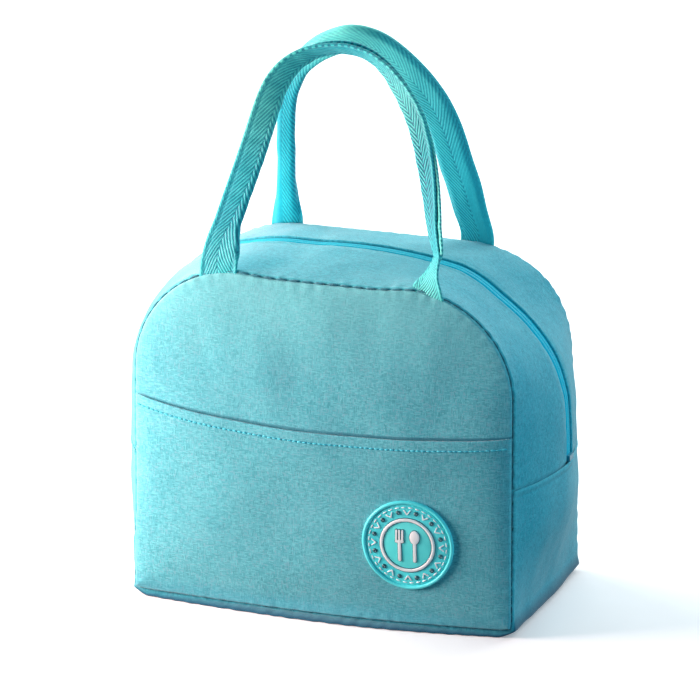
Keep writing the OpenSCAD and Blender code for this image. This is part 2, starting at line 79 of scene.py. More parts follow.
def sm(a):
    c = clamp(a)
    return c * c * (3 - 2 * c)


def lift(z):
    return clamp((z - ZL) / (Z1 - ZL))


def back_y(z):
    return HD - 13.0 * lift(z) ** 1.3


def mid_y(z):
    return (back_y(z) - HD) / 2


def half_depth(z):
    return (back_y(z) + HD) / 2


def half_w(z):
    z = np.asarray(z, float)
    up = XA + np.sqrt(np.maximum(0, AR ** 2 - (z - ZA) ** 2))
    lo = HW - FR + np.sqrt(np.maximum(0, FR ** 2 - (Z0 + FR - z) ** 2))
    return np.where(z > ZA, up, np.where(z < Z0 + FR, lo, HW))


def outline(t):
    """x, z and the outward normal of the panel outline at a distance t from the top middle, to the right."""
    t = np.asarray(t, float)
    s, a = np.sign(t), np.abs(t)
    s = np.where(s == 0, 1.0, s)
    th = clamp((a - T1) / AR, 0, PI / 2)
    ph = clamp((a - T3) / FR, 0, PI / 2)
    x = np.where(a < T1, a, np.where(a < T3, XA + AR * np.sin(th), np.where(a < T4, HW - FR + FR * np.cos(ph), HW - FR - (a - T4))))
    z = np.where(a < T1, Z1, np.where(a < T2, ZA + AR * np.cos(th), np.where(a < T3, ZA - (a - T2), np.where(a < T4, Z0 + FR - FR * np.sin(ph), Z0))))
    nx = np.where(a < T1, 0.0, np.where(a < T2, np.sin(th), np.where(a < T3, 1.0, np.where(a < T4, np.cos(ph), 0.0))))
    nz = np.where(a < T1, 1.0, np.where(a < T2, np.cos(th), np.where(a < T3, 0.0, np.where(a < T4, -np.sin(ph), -1.0))))
    return s * x, z, s * nx, nz


def side_bulge(z):
    return 13.5 * sm((z - Z0) / 62.0) - 3.0 * clamp((z - ZL) / (ZA - ZL))


def _bulge_table():
    a = np.arange(0.0, T5 + 0.001, 0.5)
    x, z, nx, nz = outline(a)
    ang = 90.0 - np.degrees(clamp((a - T1) / AR, 0, PI / 2))
    arc = np.interp(ang, [0, 12, 24, 38, 53, 66, 78, 90], [10.5, 6, 2, -0.8, -2.4, -1.2, 0.6, 2])
    p = clamp((a - T3) / FR, 0, PI / 2) / (PI / 2)
    v = np.where(a < T1, 2 + 4.5 * (1 - (x / XA) ** 2), np.where(a < T2, arc, np.where(a < T3, side_bulge(z), 4 * p + side_bulge(z))))
    k = np.arange(-24, 25)
    g = np.exp(-0.5 * (k * 0.5 / 4.0) ** 2)
    g /= g.sum()
    pad = np.concatenate([v[48:0:-1], v, np.full(48, v[-1])])
    out = np.convolve(pad, g, mode="same")[48:-48]
    soft = sm((T3 - a) / 6.0)
    return a, v * (1 - soft) + out * soft


_BT, _BV = _bulge_table()


def bulge(t):
    t = np.asarray(t, float)
    a = np.abs(t)
    left = (2.6 * sm((a - 18.0) / 30.0) + 3.6 * sm((a - 58.0) / 26.0)) * (1 - sm((a - 118.0) / 36.0)) * (t < 0)
    right = -1.6 * sm((a - 62.0) / 40.0) * (1 - sm((a - 140.0) / 48.0)) * (t > 0)
    return np.interp(a, _BT, _BV) + left + right


def flatness(t):
    return clamp((np.abs(t) - T3) / FR, 0, PI / 2) / (PI / 2)


def across(v, k):
    return (1 - k) * (1 - v * v) + k * (1 - clamp((np.abs(v) - 0.9) / 0.1) ** 2)


def waves(seed, n, lo, hi, dims=2):
    """A smooth seeded wave field of unit size, made of n waves with lengths from lo to hi."""
    r = np.random.default_rng(seed)
    lam = lo * (hi / lo) ** r.random(n)
    ang = r.random(n) * 2 * PI
    ph = r.random(n) * 2 * PI
    k = 2 * PI / lam

    def f(a, b=0.0):
        out = 0.0
        for i in range(n):
            if dims == 2:
                out = out + np.sin(k[i] * (a * math.cos(ang[i]) + b * math.sin(ang[i])) + ph[i])
            else:
                out = out + np.sin(k[i] * a + ph[i])
        return out / math.sqrt(n / 2.0)
    return f


pucker_a = waves(3, 7, 7.0, 15.0, 1)
pucker_b = waves(4, 7, 7.0, 15.0, 1)
soft_front = waves(11, 6, 45, 110)
soft_back = waves(12, 6, 45, 110)
soft_side = waves(13, 6, 35, 90)
fine_side = waves(14, 8, 12, 26)

# ---- cloth simulation: a stuffed sheet sewn down round its outline. Its small folds are laid on the finer pieces.
def drape(seed, top, open_top, grow, press, weight, frames, limit):
    step = 4.5
    xs = np.linspace(-HW, HW, int(2 * HW / step) + 1)
    zs = np.linspace(Z0, top, int((top - Z0) / step) + 1)
    zero = np.zeros((len(xs), len(zs)))
    X, Z = np.meshgrid(xs, zs, indexing="ij")
    inside = np.abs(X) <= half_w(Z) + 0.6 * step
    X = np.clip(X, -half_w(Z), half_w(Z))
    r = np.random.default_rng(seed)
    Y = -r.random(X.shape) * 0.25
    k = np.arange(X.size).reshape(X.shape)
    q = np.stack([k[:-1, :-1], k[1:, :-1], k[1:, 1:], k[:-1, 1:]], -1).reshape(-1, 4)
    q = q[inside.ravel()[q].all(1)]
    used = np.unique(q)
    new = np.full(X.size, -1)
    new[used] = np.arange(len(used))
    P = np.stack([X.ravel(), Y.ravel(), Z.ravel()], -1)[used] * 0.001
    me = bpy.data.meshes.new("cloth_sheet")
    me.from_pydata([tuple(p) for p in P], [], [tuple(int(i) for i in new[f]) for f in q])
    ob = bpy.data.objects.new("cloth_sheet", me)
    scene.collection.objects.link(ob)
    count = np.bincount(q.ravel(), minlength=X.size)[used]
    rim = count < 4
    if open_top:
        rim &= ~((P[:, 2] > (top - 0.5 * step) * 0.001) & (np.abs(P[:, 0]) < (HW - 0.6 * step) * 0.001))
    g = ob.vertex_groups.new(name="sewn")
    g.add([int(i) for i in np.where(rim)[0]], 1.0, "REPLACE")
    m = ob.modifiers.new("cloth", "CLOTH")
    s = m.settings
    s.quality = 6
    s.mass = 0.15
    s.tension_stiffness = s.compression_stiffness = 12.0
    s.shear_stiffness = 6.0
    s.bending_stiffness = 0.35
    s.vertex_group_mass = "sewn"
    s.shrink_min = -grow
    s.use_pressure = True
    s.uniform_pressure_force = press
    s.effector_weights.gravity = weight
    m.collision_settings.use_collision = False
    m.point_cache.frame_start, m.point_cache.frame_end = 1, frames
    for f in range(1, frames + 1):
        scene.frame_set(f)
    ev = ob.evaluated_get(bpy.context.evaluated_depsgraph_get())
    co = np.empty(len(ev.data.vertices) * 3, np.float32)
    ev.data.vertices.foreach_get("co", co)
    co = co.reshape(-1, 3).astype(float) * 1000.0
    bpy.data.objects.remove(ob)
    bpy.data.meshes.remove(me)
    scene.frame_set(1)
    D = zero.copy()
    D.ravel()[used] = -co[:, 1]
    D[~np.isfinite(D)] = 0.0
    if np.median(D[inside]) < 0:                  # outwards, whichever way the sheet swelled
        D = -D
    ker = np.exp(-0.5 * (np.arange(-9, 10) * step / 17.0) ** 2)
    ker /= ker.sum()
    low = np.pad(D, 9, mode="edge")
    low = np.apply_along_axis(lambda a: np.convolve(a, ker, "same"), 0, low)
    low = np.apply_along_axis(lambda a: np.convolve(a, ker, "same"), 1, low)[9:-9, 9:-9]
    F = D - low
    k3 = np.array([0.25, 0.5, 0.25])
    F = np.pad(F, 1, mode="edge")
    F = np.apply_along_axis(lambda a: np.convolve(a, k3, "same"), 0, F)
    F = np.apply_along_axis(lambda a: np.convolve(a, k3, "same"), 1, F)[1:-1, 1:-1]
    F *= limit / max(np.percentile(np.abs(F), 99.0), 1e-6)
    return xs, zs, np.clip(F, -limit, limit)


def lay(field, x, z):
    """The simulated relief at a point, read smoothly between the sheet's own points."""
    xs, zs, F = field
    i = clamp((np.asarray(x, float) - xs[0]) / (xs[1] - xs[0]), 0, len(xs) - 1.001)
    j = clamp((np.asarray(z, float) - zs[0]) / (zs[1] - zs[0]), 0, len(zs) - 1.001)
    i, j = np.broadcast_arrays(i, j)
    i0, j0 = i.astype(int), j.astype(int)
    a, b = i - i0, j - j0
    a, b = a * a * (3 - 2 * a), b * b * (3 - 2 * b)
    return (F[i0, j0] * (1 - a) + F[i0 + 1, j0] * a) * (1 - b) + (F[i0, j0 + 1] * (1 - a) + F[i0 + 1, j0 + 1] * a) * b


CLOTH_FRONT = drape(5, Z1, False, 0.035, 2.4, 0.35, 24, 0.5)
CLOTH_BACK = drape(8, Z1, False, 0.035, 2.4, 0.35, 24, 0.7)
CLOTH_POCKET = drape(17, 113.0, True, 0.03, 1.6, 0.5, 24, 0.4)

# ---- seam roll: from the hidden end of the seam allowance, round the roll, to the face.
# Each entry is (distance in from the seam line, depth under the face).
ROLL = 0.95


def roll_profile(r=ROLL, hidden=1.1):
    c = 2.41421 * r
    pts = [(c - r * 0.70711 + hidden * 0.70711, r * 1.70711 + hidden * 0.70711)]
    for a in np.radians([135, 112, 90, 68, 46, 26, 10, 0]):
        pts.append((c - r * math.sin(a), r - r * math.cos(a)))
    return np.array(pts)


RP = roll_profile()
R_END = RP[-1, 0]


def settle(V):
    """Weight and stuffing shift the sewn shell a little: squarer lower corners, a slack seam, a base that spreads."""
    x, y, z = V[:, 0].copy(), V[:, 1].copy(), V[:, 2].copy()
    # squarer lower corners
    p, q = np.abs(x) - (HW - FR), Z0 + FR - z
    on = (p > 0) & (q > 0)
    g = np.ones_like(x)
    pm, qm = np.maximum(p, 1e-6), np.maximum(q, 1e-6)
    g[on] = (np.hypot(pm, qm) / np.maximum(pm, qm))[on] ** 0.62
    x = np.where(on, np.sign(x) * (HW - FR + p * g), x)
    z = np.where(on, Z0 + FR - q * g, z)
    # the lower edges sag between the corners and spread outwards
    mid = clamp(1 - (x / HW) ** 2)
    low = np.exp(-(np.maximum(z, 0) / 8.0) ** 2)
    z = z * (1 - 0.40 * mid * np.exp(-np.maximum(z, 0) / 10.0))
    y = y * (1 + (1.2 + 3.6 * mid + (y < 0) * 2.8 * np.exp(-((x - 25.0) / 70.0) ** 2)) * low / HD)
    x = x - 1.4 * np.exp(-((z - 24.0) / 20.0) ** 2) * sm((-x - 60.0) / 50.0)
    x = x * (1 + 1.6 * low / HW)
    # the front top edge hangs slightly between the handle's feet
    top = (1 - sm((np.abs(x) - 26.0) / 28.0)) * sm((z - 140.0) / 50.0) * (1 - sm((z - 206.0) / 8.0)) * sm((-y - 8.0) / 44.0)
    z = z - 1.7 * top
    # the right shoulder of the back leans in
    lean = np.interp(z, [20, 36, 53, 71, 88, 106, 123, 141, 152, 162, 174, 186], [0, 0.3, 1.2, 1.8, 2.4, 3.4, 4.1, 4.2, 3.6, 2.5, 1.0, 0])
    x = x - lean * sm((y + 12.0) / 62.0) * sm((x - 62.0) / 40.0)
    return np.stack([x, y, np.maximum(z, 0.02)], -1)


# ------------------------------------------------------------------ meshes
def grid_quads(n, m, wrap_n=False, off=0):
    i = np.arange(n if wrap_n else n - 1)[:, None]
    j = np.arange(m - 1)[None, :]
    i2 = (i + 1) % n
    return np.stack([off + i * m + j, off + i2 * m + j, off + i2 * m + j + 1, off + i * m + j + 1], -1).reshape(-1, 4)


def build(name, V, quads, tris=None, uv=None, attrs=None, mat=None, smooth=True, closed=True, sharp_deg=None, settled=True):
    """A mesh object from points in millimetres. A closed mesh gets its faces turned outwards."""
    V = np.asarray(V, float).reshape(-1, 3)
    if settled:
        V = settle(V)
    quads = np.asarray(quads, int).reshape(-1, 4)
    tris = np.zeros((0, 3), int) if tris is None else np.asarray(tris, int).reshape(-1, 3)
    if closed:
        T = np.concatenate([quads[:, [0, 1, 2]], quads[:, [0, 2, 3]], tris])
        P = V - V.mean(0)
        vol = np.einsum("ij,ij->i", P[T[:, 0]], np.cross(P[T[:, 1]], P[T[:, 2]])).sum()
        if vol < 0:
            quads, tris = quads[:, ::-1], tris[:, ::-1]
    me = bpy.data.meshes.new(name)
    me.vertices.add(len(V))
    me.vertices.foreach_set("co", (V * 0.001).astype(np.float32).ravel())
    loops = np.concatenate([quads.ravel(), tris.ravel()]).astype(np.int32)
    starts = np.concatenate([np.arange(len(quads)) * 4, len(quads) * 4 + np.arange(len(tris)) * 3]).astype(np.int32)
    me.loops.add(len(loops))
    me.loops.foreach_set("vertex_index", loops)
    me.polygons.add(len(starts))
    me.polygons.foreach_set("loop_start", starts)
    me.update(calc_edges=True)
    if uv is not None:
        layer = me.uv_layers.new(name="weave")
        layer.data.foreach_set("uv", np.asarray(uv, np.float32).reshape(-1, 2)[loops].ravel())
    for k, a in (attrs or {}).items():
        at = me.attributes.new(k, "FLOAT", "POINT")
        at.data.foreach_set("value", np.asarray(a, np.float32).ravel())
    me.validate()
    if smooth:
        me.polygons.foreach_set("use_smooth", np.ones(len(me.polygons), bool))
    o = bpy.data.objects.new(name, me)
    scene.collection.objects.link(o)
    if mat is not None:
        me.materials.append(mat)
    if sharp_deg is not None:
        me.set_sharp_from_angle(angle=math.radians(sharp_deg))
    return o


def slab(name, OUT, INN, uv, attrs=None, mat=None, wrap=False, **kw):
    """A closed shell between two point grids of the same shape."""
    n, m = OUT.shape[:2]
    V = np.concatenate([OUT.reshape(-1, 3), INN.reshape(-1, 3)])
    o = n * m
    q = [grid_quads(n, m, wrap), grid_quads(n, m, wrap, o)[:, ::-1]]
    i = np.arange(n if wrap else n - 1)
    i2 = (i + 1) % n
    for j, f in ((0, 1), (m - 1, -1)):
        s = np.stack([i * m + j, o + i * m + j, o + i2 * m + j, i2 * m + j], -1)
        q.append(s if f > 0 else s[:, ::-1])
    if not wrap:
        j = np.arange(m - 1)
        for i0, f in ((0, 1), (n - 1, -1)):
            s = np.stack([i0 * m + j, i0 * m + j + 1, o + i0 * m + j + 1, o + i0 * m + j], -1)
            q.append(s if f > 0 else s[:, ::-1])
    uv2 = np.concatenate([uv.reshape(-1, 2), uv.reshape(-1, 2)])
    at2 = {k: np.concatenate([np.ravel(a), np.ravel(a)]) for k, a in (attrs or {}).items()}
    return build(name, V, np.concatenate(q), uv=uv2, attrs=at2, mat=mat, **kw)


def tubes(name, paths, radius, sides=8, mat=None, attrs_value=None, squash=1.0):
    """Round-ended threads along short paths, all in one mesh."""
    V, Q, T, base = [], [], [], 0
    A = []
    for item in paths:
        pth, up = item[:2]
        rad = item[2] if len(item) > 2 else radius
        P = np.asarray(pth, float)
        n = len(P)
        d = np.gradient(P, axis=0)
        d /= np.linalg.norm(d, axis=1)[:, None] + 1e-12
        u = np.asarray(up, float)
        u = u if u.ndim == 2 else np.tile(u, (n, 1))
        b = np.cross(d, u)
        b /= np.linalg.norm(b, axis=1)[:, None] + 1e-12
        u = np.cross(b, d)
        prof = np.ones(n)
        prof[0] = prof[-1] = 0.45
        if n > 4:
            prof[1] = prof[-2] = 0.88
        a = np.arange(sides) * 2 * PI / sides
        ring = (b[:, None, :] * np.cos(a)[None, :, None] + u[:, None, :] * (squash * np.sin(a))[None, :, None])
        pts = P[:, None, :] + ring * (rad * prof)[:, None, None]
        V.append(pts.reshape(-1, 3))
        i = np.arange(n - 1)[:, None]
        k = np.arange(sides)[None, :]
        k2 = (k + 1) % sides
        Q.append((base + np.stack([i * sides + k, i * sides + k2, (i + 1) * sides + k2, (i + 1) * sides + k], -1)).reshape(-1, 4))
        V.append(P[[0]] - d[[0]] * rad * 0.3)
        V.append(P[[-1]] + d[[-1]] * rad * 0.3)
        c0, c1 = base + n * sides, base + n * sides + 1
        kk = np.arange(sides)
        k3 = (kk + 1) % sides
        T.append(np.stack([np.full(sides, c0), base + k3, base + kk], -1))
        T.append(np.stack([np.full(sides, c1), base + (n - 1) * sides + kk, base + (n - 1) * sides + k3], -1))
        base += n * sides + 2
    return build(name, np.concatenate(V), np.concatenate(Q), np.concatenate(T), mat=mat, closed=True)


def box_mesh(name, polys, mat=None, bevel=0.2, segs=3):
    """Bevelled prisms: each is (outline points, z0, z1, matrix-like function) joined in one mesh."""
    bm = bmesh.new()
    for pts, z0, z1, fn in polys:
        lower = [bm.verts.new((p[0], p[1], z0)) for p in pts]
        face = bm.faces.new(lower)
        ext = bmesh.ops.extrude_face_region(bm, geom=[face])
        vs = [g for g in ext["geom"] if isinstance(g, bmesh.types.BMVert)]
        for v in vs:
            v.co.z = z1
        new = lower + vs
        es = list({e for v in new for e in v.link_edges})
        r = bmesh.ops.bevel(bm, geom=es, offset=bevel, offset_type="OFFSET", segments=segs, profile=0.5, affect="EDGES", clamp_overlap=True)
        done = set(new) | {v for v in r["verts"]}
        for v in list(done):
            if v.is_valid:
                v.tag = True
        for v in bm.verts:
            if v.is_valid and v.tag:
                v.co = Vector(settle(np.asarray(fn(np.array(v.co)), float).reshape(1, 3))[0])
                v.tag = False
    bmesh.ops.recalc_face_normals(bm, faces=bm.faces)
    me = bpy.data.meshes.new(name)
    for v in bm.verts:
        v.co *= 0.001
    bm.to_mesh(me)
    bm.free()
    me.polygons.foreach_set("use_smooth", np.ones(len(me.polygons), bool))
    o = bpy.data.objects.new(name, me)
    scene.collection.objects.link(o)
    if mat is not None:
        me.materials.append(mat)
    me.set_sharp_from_angle(angle=math.radians(40))
    return o


# ------------------------------------------------------------------ materials
class Nodes:
    """A short way to write a procedural material."""

    def __init__(self, name):
        self.mat = bpy.data.materials.new(name)
        self.mat.use_nodes = True
        self.t = self.mat.node_tree
        self.b = self.t.nodes["Principled BSDF"]

    def put(self, sock, v):
        if isinstance(v, bpy.types.NodeSocket):
            self.t.links.new(v, sock)
        elif v is not None:
            if isinstance(v, (tuple, list)) and len(v) == 3 and len(sock.default_value) == 4:
                v = (*v, 1.0)
            sock.default_value = v

    def new(self, kind, **kw):
        n = self.t.nodes.new(kind)
        for k, v in kw.items():
            setattr(n, k, v)
        return n

    def m(self, op, a, b=None, c=None, clamped=False):
        n = self.new("ShaderNodeMath", operation=op, use_clamp=clamped)
        for i, v in enumerate((a, b, c)):
            if v is not None:
                self.put(n.inputs[i], v)
        return n.outputs[0]

    def uv(self, name="weave", scale=100.0):
        n = self.new("ShaderNodeUVMap", uv_map=name)
        v = self.new("ShaderNodeVectorMath", operation="SCALE")
        self.put(v.inputs[0], n.outputs[0])
        v.inputs[3].default_value = scale
        return v.outputs[0]

    def place(self, scale=1000.0):
        n = self.new("ShaderNodeTexCoord")
        v = self.new("ShaderNodeVectorMath", operation="SCALE")
        self.put(v.inputs[0], n.outputs["Object"])
        v.inputs[3].default_value = scale
        return v.outputs[0]

    def split(self, v):
        n = self.new("ShaderNodeSeparateXYZ")
        self.put(n.inputs[0], v)
        return n.outputs[0], n.outputs[1], n.outputs[2]

    def join(self, x, y, z=0.0):
        n = self.new("ShaderNodeCombineXYZ")
        for i, v in enumerate((x, y, z)):
            self.put(n.inputs[i], v)
        return n.outputs[0]

    def white(self, v, dims="2D"):
        n = self.new("ShaderNodeTexWhiteNoise", noise_dimensions=dims)
        self.put(n.inputs["W" if dims == "1D" else "Vector"], v)
        return n.outputs["Value"]

    def noise(self, v, scale, detail=2.0, rough=0.5, dist=0.0):
        n = self.new("ShaderNodeTexNoise")
        self.put(n.inputs["Vector"], v)
        n.inputs["Scale"].default_value = scale
        n.inputs["Detail"].default_value = detail
        n.inputs["Roughness"].default_value = rough
        n.inputs["Distortion"].default_value = dist
        return n.outputs[0]

    def attr(self, name):
        return self.new("ShaderNodeAttribute", attribute_name=name).outputs["Fac"]

    def ramp(self, fac, stops, mode="LINEAR"):
        n = self.new("ShaderNodeValToRGB")
        n.color_ramp.interpolation = mode
        el = n.color_ramp.elements
        while len(el) < len(stops):
            el.new(0.5)
        for e, (p, c) in zip(el, stops):
            e.position = p
            e.color = (*c, 1.0)
        self.put(n.inputs[0], fac)
        return n.outputs[0]

    def mix(self, fac, a, b, mode="MIX"):
        n = self.new("ShaderNodeMix", data_type="RGBA", blend_type=mode)
        self.put(n.inputs[0], fac)
        self.put(n.inputs[6], a)
        self.put(n.inputs[7], b)
        return n.outputs[2]

    def span(self, v, a, b, c=0.0, d=1.0):
        n = self.new("ShaderNodeMapRange")
        self.put(n.inputs[0], v)
        for i, x in enumerate((a, b, c, d)):
            self.put(n.inputs[i + 1], x)
        return n.outputs[0]

    def bump(self, h, dist=0.0001, strength=1.0, normal=None):
        n = self.new("ShaderNodeBump")
        n.inputs["Strength"].default_value = strength
        n.inputs["Distance"].default_value = dist
        self.put(n.inputs["Height"], h)
        self.put(n.inputs["Normal"], normal)
        return n.outputs[0]

    def done(self, color, rough, normal=None, **kw):
        self.put(self.b.inputs["Base Color"], color)
        self.put(self.b.inputs["Roughness"], rough)
        self.put(self.b.inputs["Normal"], normal)
        for k, v in kw.items():
            self.put(self.b.inputs[k.replace("_", " ")], v)
        return self.mat


def srgb(r, g, b):
    f = lambda c: c / 12.92 if c <= 0.04045 else ((c + 0.055) / 1.055) ** 2.4
    return tuple(f(v / 255.0) for v in (r, g, b))


def weave_height(N, u, v, pitch):
    """Plain weave: rounded yarns passing over and under each other."""
    a = N.m("MULTIPLY", u, PI / pitch)
    b = N.m("MULTIPLY", v, PI / pitch)
    s = N.m("MULTIPLY", N.m("SINE", a), N.m("SINE", b))
    return N.m("ABSOLUTE", s)


def fabric_mat(name, tint=(1, 1, 1), long_u=1.9, long_v=2.2, weft_share=0.46, pitch=0.40, mouth_line=False, z_at=None, painted_shade_to=(14, 84, 110)):
    """Heathered plain weave: short dashes of paler, greyer and darker yarn in both directions."""
    N = Nodes(name)
    u, v, _ = N.split(N.uv())
    p = N.place()

    def dashes(along, across, length, seed):
        row = N.m("FLOOR", N.m("DIVIDE", across, pitch))
        off = N.m("MULTIPLY", N.white(N.m("ADD", row, seed), "1D"), 9.0)
        cell = N.m("FLOOR", N.m("ADD", N.m("DIVIDE", along, length), off))
        return N.white(N.join(cell, row, seed), "3D"), N.white(N.join(row, cell, seed + 7.0), "3D")

    warp_r, _ = dashes(v, u, long_v, 71.0)
    weft_r, weft_on = dashes(u, v, long_u, 13.0)
    tone = lambda r, g, bl: tuple(x * k for x, k in zip(srgb(r, g, bl), tint))
    c_dark, c_deep, c_mid, c_pale, c_grey = tone(67, 158, 170), tone(78, 172, 184), tone(91, 185, 196), tone(107, 199, 208), tone(112, 181, 195)
    warp = N.ramp(warp_r, [(0.0, c_dark), (0.14, c_deep), (0.38, c_mid), (0.72, c_pale), (0.86, c_grey)], "CONSTANT")
    weft = N.ramp(weft_r, [(0.0, c_deep), (0.26, c_mid), (0.58, c_pale), (0.78, c_grey), (0.90, c_dark)], "CONSTANT")
    patch = N.noise(p, 0.02, 2.0)
    share = N.m("ADD", N.m("MULTIPLY", N.m("SUBTRACT", patch, 0.5), 0.7), weft_share)
    c = N.mix(N.m("LESS_THAN", weft_on, share), warp, weft)
    drift = N.noise(p, 0.014, 3.0, 0.55)
    c = N.mix(N.span(drift, 0.30, 0.70, 0.0, 0.22), c, tone(80, 172, 186))
    c = N.mix(N.span(N.noise(p, 0.06, 3.0, 0.6), 0.42, 0.72, 0.0, 0.10), c, tone(150, 205, 214))
    # paler where the mesh's edge value is set: partly wear, partly painted highlight on rolled edges and folds
    edge = N.attr("edge")
    c = N.mix(N.m("MULTIPLY", edge, 0.30), c, tone(140, 218, 222))
    if z_at is not None:                          # painted highlight under the top seam, painted shade along the base seam
        z = N.m("SUBTRACT", v, z_at)
        c = N.mix(N.span(z, 140.0, 192.0, 0.0, 0.34), c, tone(142, 226, 224))
        c = N.mix(N.span(z, 4.0, 16.0, 0.50, 0.0), c, tone(18, 119, 145))
    # darker where the mesh's deep value is set: painted shade on the base band and on the pocket's lip
    c = N.mix(N.m("MULTIPLY", N.attr("deep"), 0.92), c, tone(*painted_shade_to))
    if mouth_line:                                # shade gathered in the slit of the pocket
        px = N.m("DIVIDE", N.m("SUBTRACT", u, 300.0), HW)
        steep = N.m("ADD", N.m("MULTIPLY", N.m("LESS_THAN", px, 0.0), 3.4), 5.7)
        over = N.m("SUBTRACT", N.m("SUBTRACT", v, 410.4), N.m("MULTIPLY", N.m("MULTIPLY", px, px), steep))
        c = N.mix(N.m("MULTIPLY", N.span(over, 0.7, 1.3, 1.0, 0.0), N.span(px, -1.0, 0.7, 0.30, 0.72)), c, tone(20, 104, 126))
    yarn = weave_height(N, u, v, pitch)
    slub = N.noise(N.join(N.m("MULTIPLY", u, 0.35), N.m("MULTIPLY", v, 0.35)), 1.6, 3.0)
    h = N.m("ADD", N.m("MULTIPLY", yarn, 0.6), N.m("MULTIPLY", slub, 0.5))
    rough = N.span(slub, 0.3, 0.7, 0.80, 0.94)
    return N.done(c, rough, N.bump(h, 0.00010, 0.45), Sheen_Weight=0.36, Sheen_Roughness=0.5, Sheen_Tint=(1.0, 0.97, 0.98, 1.0), Specular_IOR_Level=0.22)


def webbing_mat(name, low, mid, high, painted_light):
    """Herringbone webbing. The mesh gives the distance from the apex line, how strong the ribs are and where painted
    light makes it paler.
    """
    N = Nodes(name)
    u, v, _ = N.split(N.uv())
    u = N.m("SUBTRACT", u, 300.0)
    v = N.m("SUBTRACT", v, 300.0)
    a = N.m("ABSOLUTE", N.attr("apex"))
    twist = N.m("MULTIPLY", N.m("SUBTRACT", N.noise(N.join(u, v), 0.35, 2.0), 0.5), 0.9)
    core = N.m("ADD", N.m("MULTIPLY", N.m("COSINE", N.m("MULTIPLY", N.m("ADD", N.m("ADD", u, twist), N.m("MULTIPLY", a, 1.85)), 2 * PI / 3.4)), 0.5), 0.5)
    bd = N.m("SUBTRACT", N.m("ABSOLUTE", v), 9.3)
    fine = N.m("ADD", N.m("MULTIPLY", N.m("COSINE", N.m("MULTIPLY", N.m("SUBTRACT", u, N.m("MULTIPLY", bd, 1.5)), 2 * PI / 2.3)), 0.5), 0.5)
    on = N.span(bd, -0.25, 0.25)
    rib = N.m("ADD", N.m("MULTIPLY", N.m("POWER", core, 0.8), N.m("SUBTRACT", 1.0, on)), N.m("MULTIPLY", N.m("ADD", N.m("MULTIPLY", fine, 0.55), 0.12), on))
    # darker along the apex line and the lines near the selvedges: painted shade in these grooves; the same dip shapes
    # the bump
    gap = N.m("ADD", N.span(a, 0.0, 0.45, 0.35, 0.0), N.span(N.m("ABSOLUTE", bd), 0.0, 0.4, 0.35, 0.0))
    rib = N.m("SUBTRACT", rib, gap, clamped=True)
    power = N.attr("ribs")
    rib = N.m("ADD", N.m("MULTIPLY", N.m("SUBTRACT", rib, 0.55), power), 0.55)
    sel = N.attr("selvedge")
    yarns = N.white(N.join(N.m("FLOOR", N.m("DIVIDE", u, 1.13)), N.m("FLOOR", N.m("DIVIDE", v, 0.33))))
    drift = N.noise(N.place(), 0.03, 3.0)
    k = N.m("ADD", N.m("MULTIPLY", rib, 0.66), N.m("MULTIPLY", N.m("SUBTRACT", yarns, 0.5), 0.14))
    k = N.m("ADD", k, N.m("MULTIPLY", N.m("SUBTRACT", drift, 0.5), 0.5))
    # selvedge value: the bead painted pale as a painted highlight, dark dashes beside it as painted shadow of the
    # stitches
    k = N.m("ADD", N.m("MULTIPLY", k, N.m("SUBTRACT", 1.0, N.m("ABSOLUTE", sel))), N.m("MULTIPLY", N.m("MAXIMUM", sel, 0.0), 1.0), clamped=True)
    # the colour follows the rib height: darker grooves and paler rib tops are painted shade and painted highlight
    c = N.ramp(k, [(0.0, low), (0.45, mid), (0.95, high)])
    # paler where the mesh asks for it along the strap: painted light lifting shaded stretches and a painted highlight
    # on the crown
    c = N.mix(N.m("MULTIPLY", N.m("MULTIPLY", N.attr("painted_light"), 0.9), N.span(k, 0.1, 0.65, 0.25, 1.0)), c, painted_light)
    fibre = N.noise(N.join(N.m("MULTIPLY", u, 0.6), N.m("MULTIPLY", v, 3.0)), 1.4, 3.0)
    strand = N.m("SINE", N.m("MULTIPLY", N.m("ADD", v, N.m("MULTIPLY", u, 0.51)), 2 * PI / 0.42))
    h = N.m("ADD", N.m("MULTIPLY", rib, 3.2), N.m("ADD", N.m("MULTIPLY", fibre, 0.5), N.m("MULTIPLY", strand, 0.12)))
    return N.done(c, N.span(fibre, 0.3, 0.7, 0.45, 0.64), N.bump(h, 0.00012, 0.55), Sheen_Weight=0.20, Sheen_Roughness=0.4, Sheen_Tint=(0.5, 1.0, 0.98, 1.0), Specular_IOR_Level=0.34)


def tape_mat(name, low, high, pitch=0.55):
    N = Nodes(name)
    u, v, _ = N.split(N.uv())
    ribs = N.m("ABSOLUTE", N.m("SINE", N.m("MULTIPLY", v, PI / pitch)))
    yarn = weave_height(N, u, v, pitch)
    drift = N.noise(N.place(), 0.05, 3.0)
    cell = N.white(N.join(N.m("FLOOR", N.m("DIVIDE", u, 0.7)), N.m("FLOOR", N.m("DIVIDE", v, pitch))))
    k = N.m("ADD", N.m("MULTIPLY", ribs, 0.35), N.m("MULTIPLY", cell, 0.30))
    k = N.m("ADD", k, N.m("MULTIPLY", N.m("SUBTRACT", drift, 0.3), 0.7), clamped=True)
    c = N.ramp(k, [(0.0, low), (1.0, high)])
    return N.done(c, N.span(drift, 0.3, 0.7, 0.55, 0.72), N.bump(yarn, 0.00012, 0.5), Sheen_Weight=0.08, Sheen_Roughness=0.4, Sheen_Tint=(0.6, 1.0, 1.0, 1.0), Specular_IOR_Level=0.3)


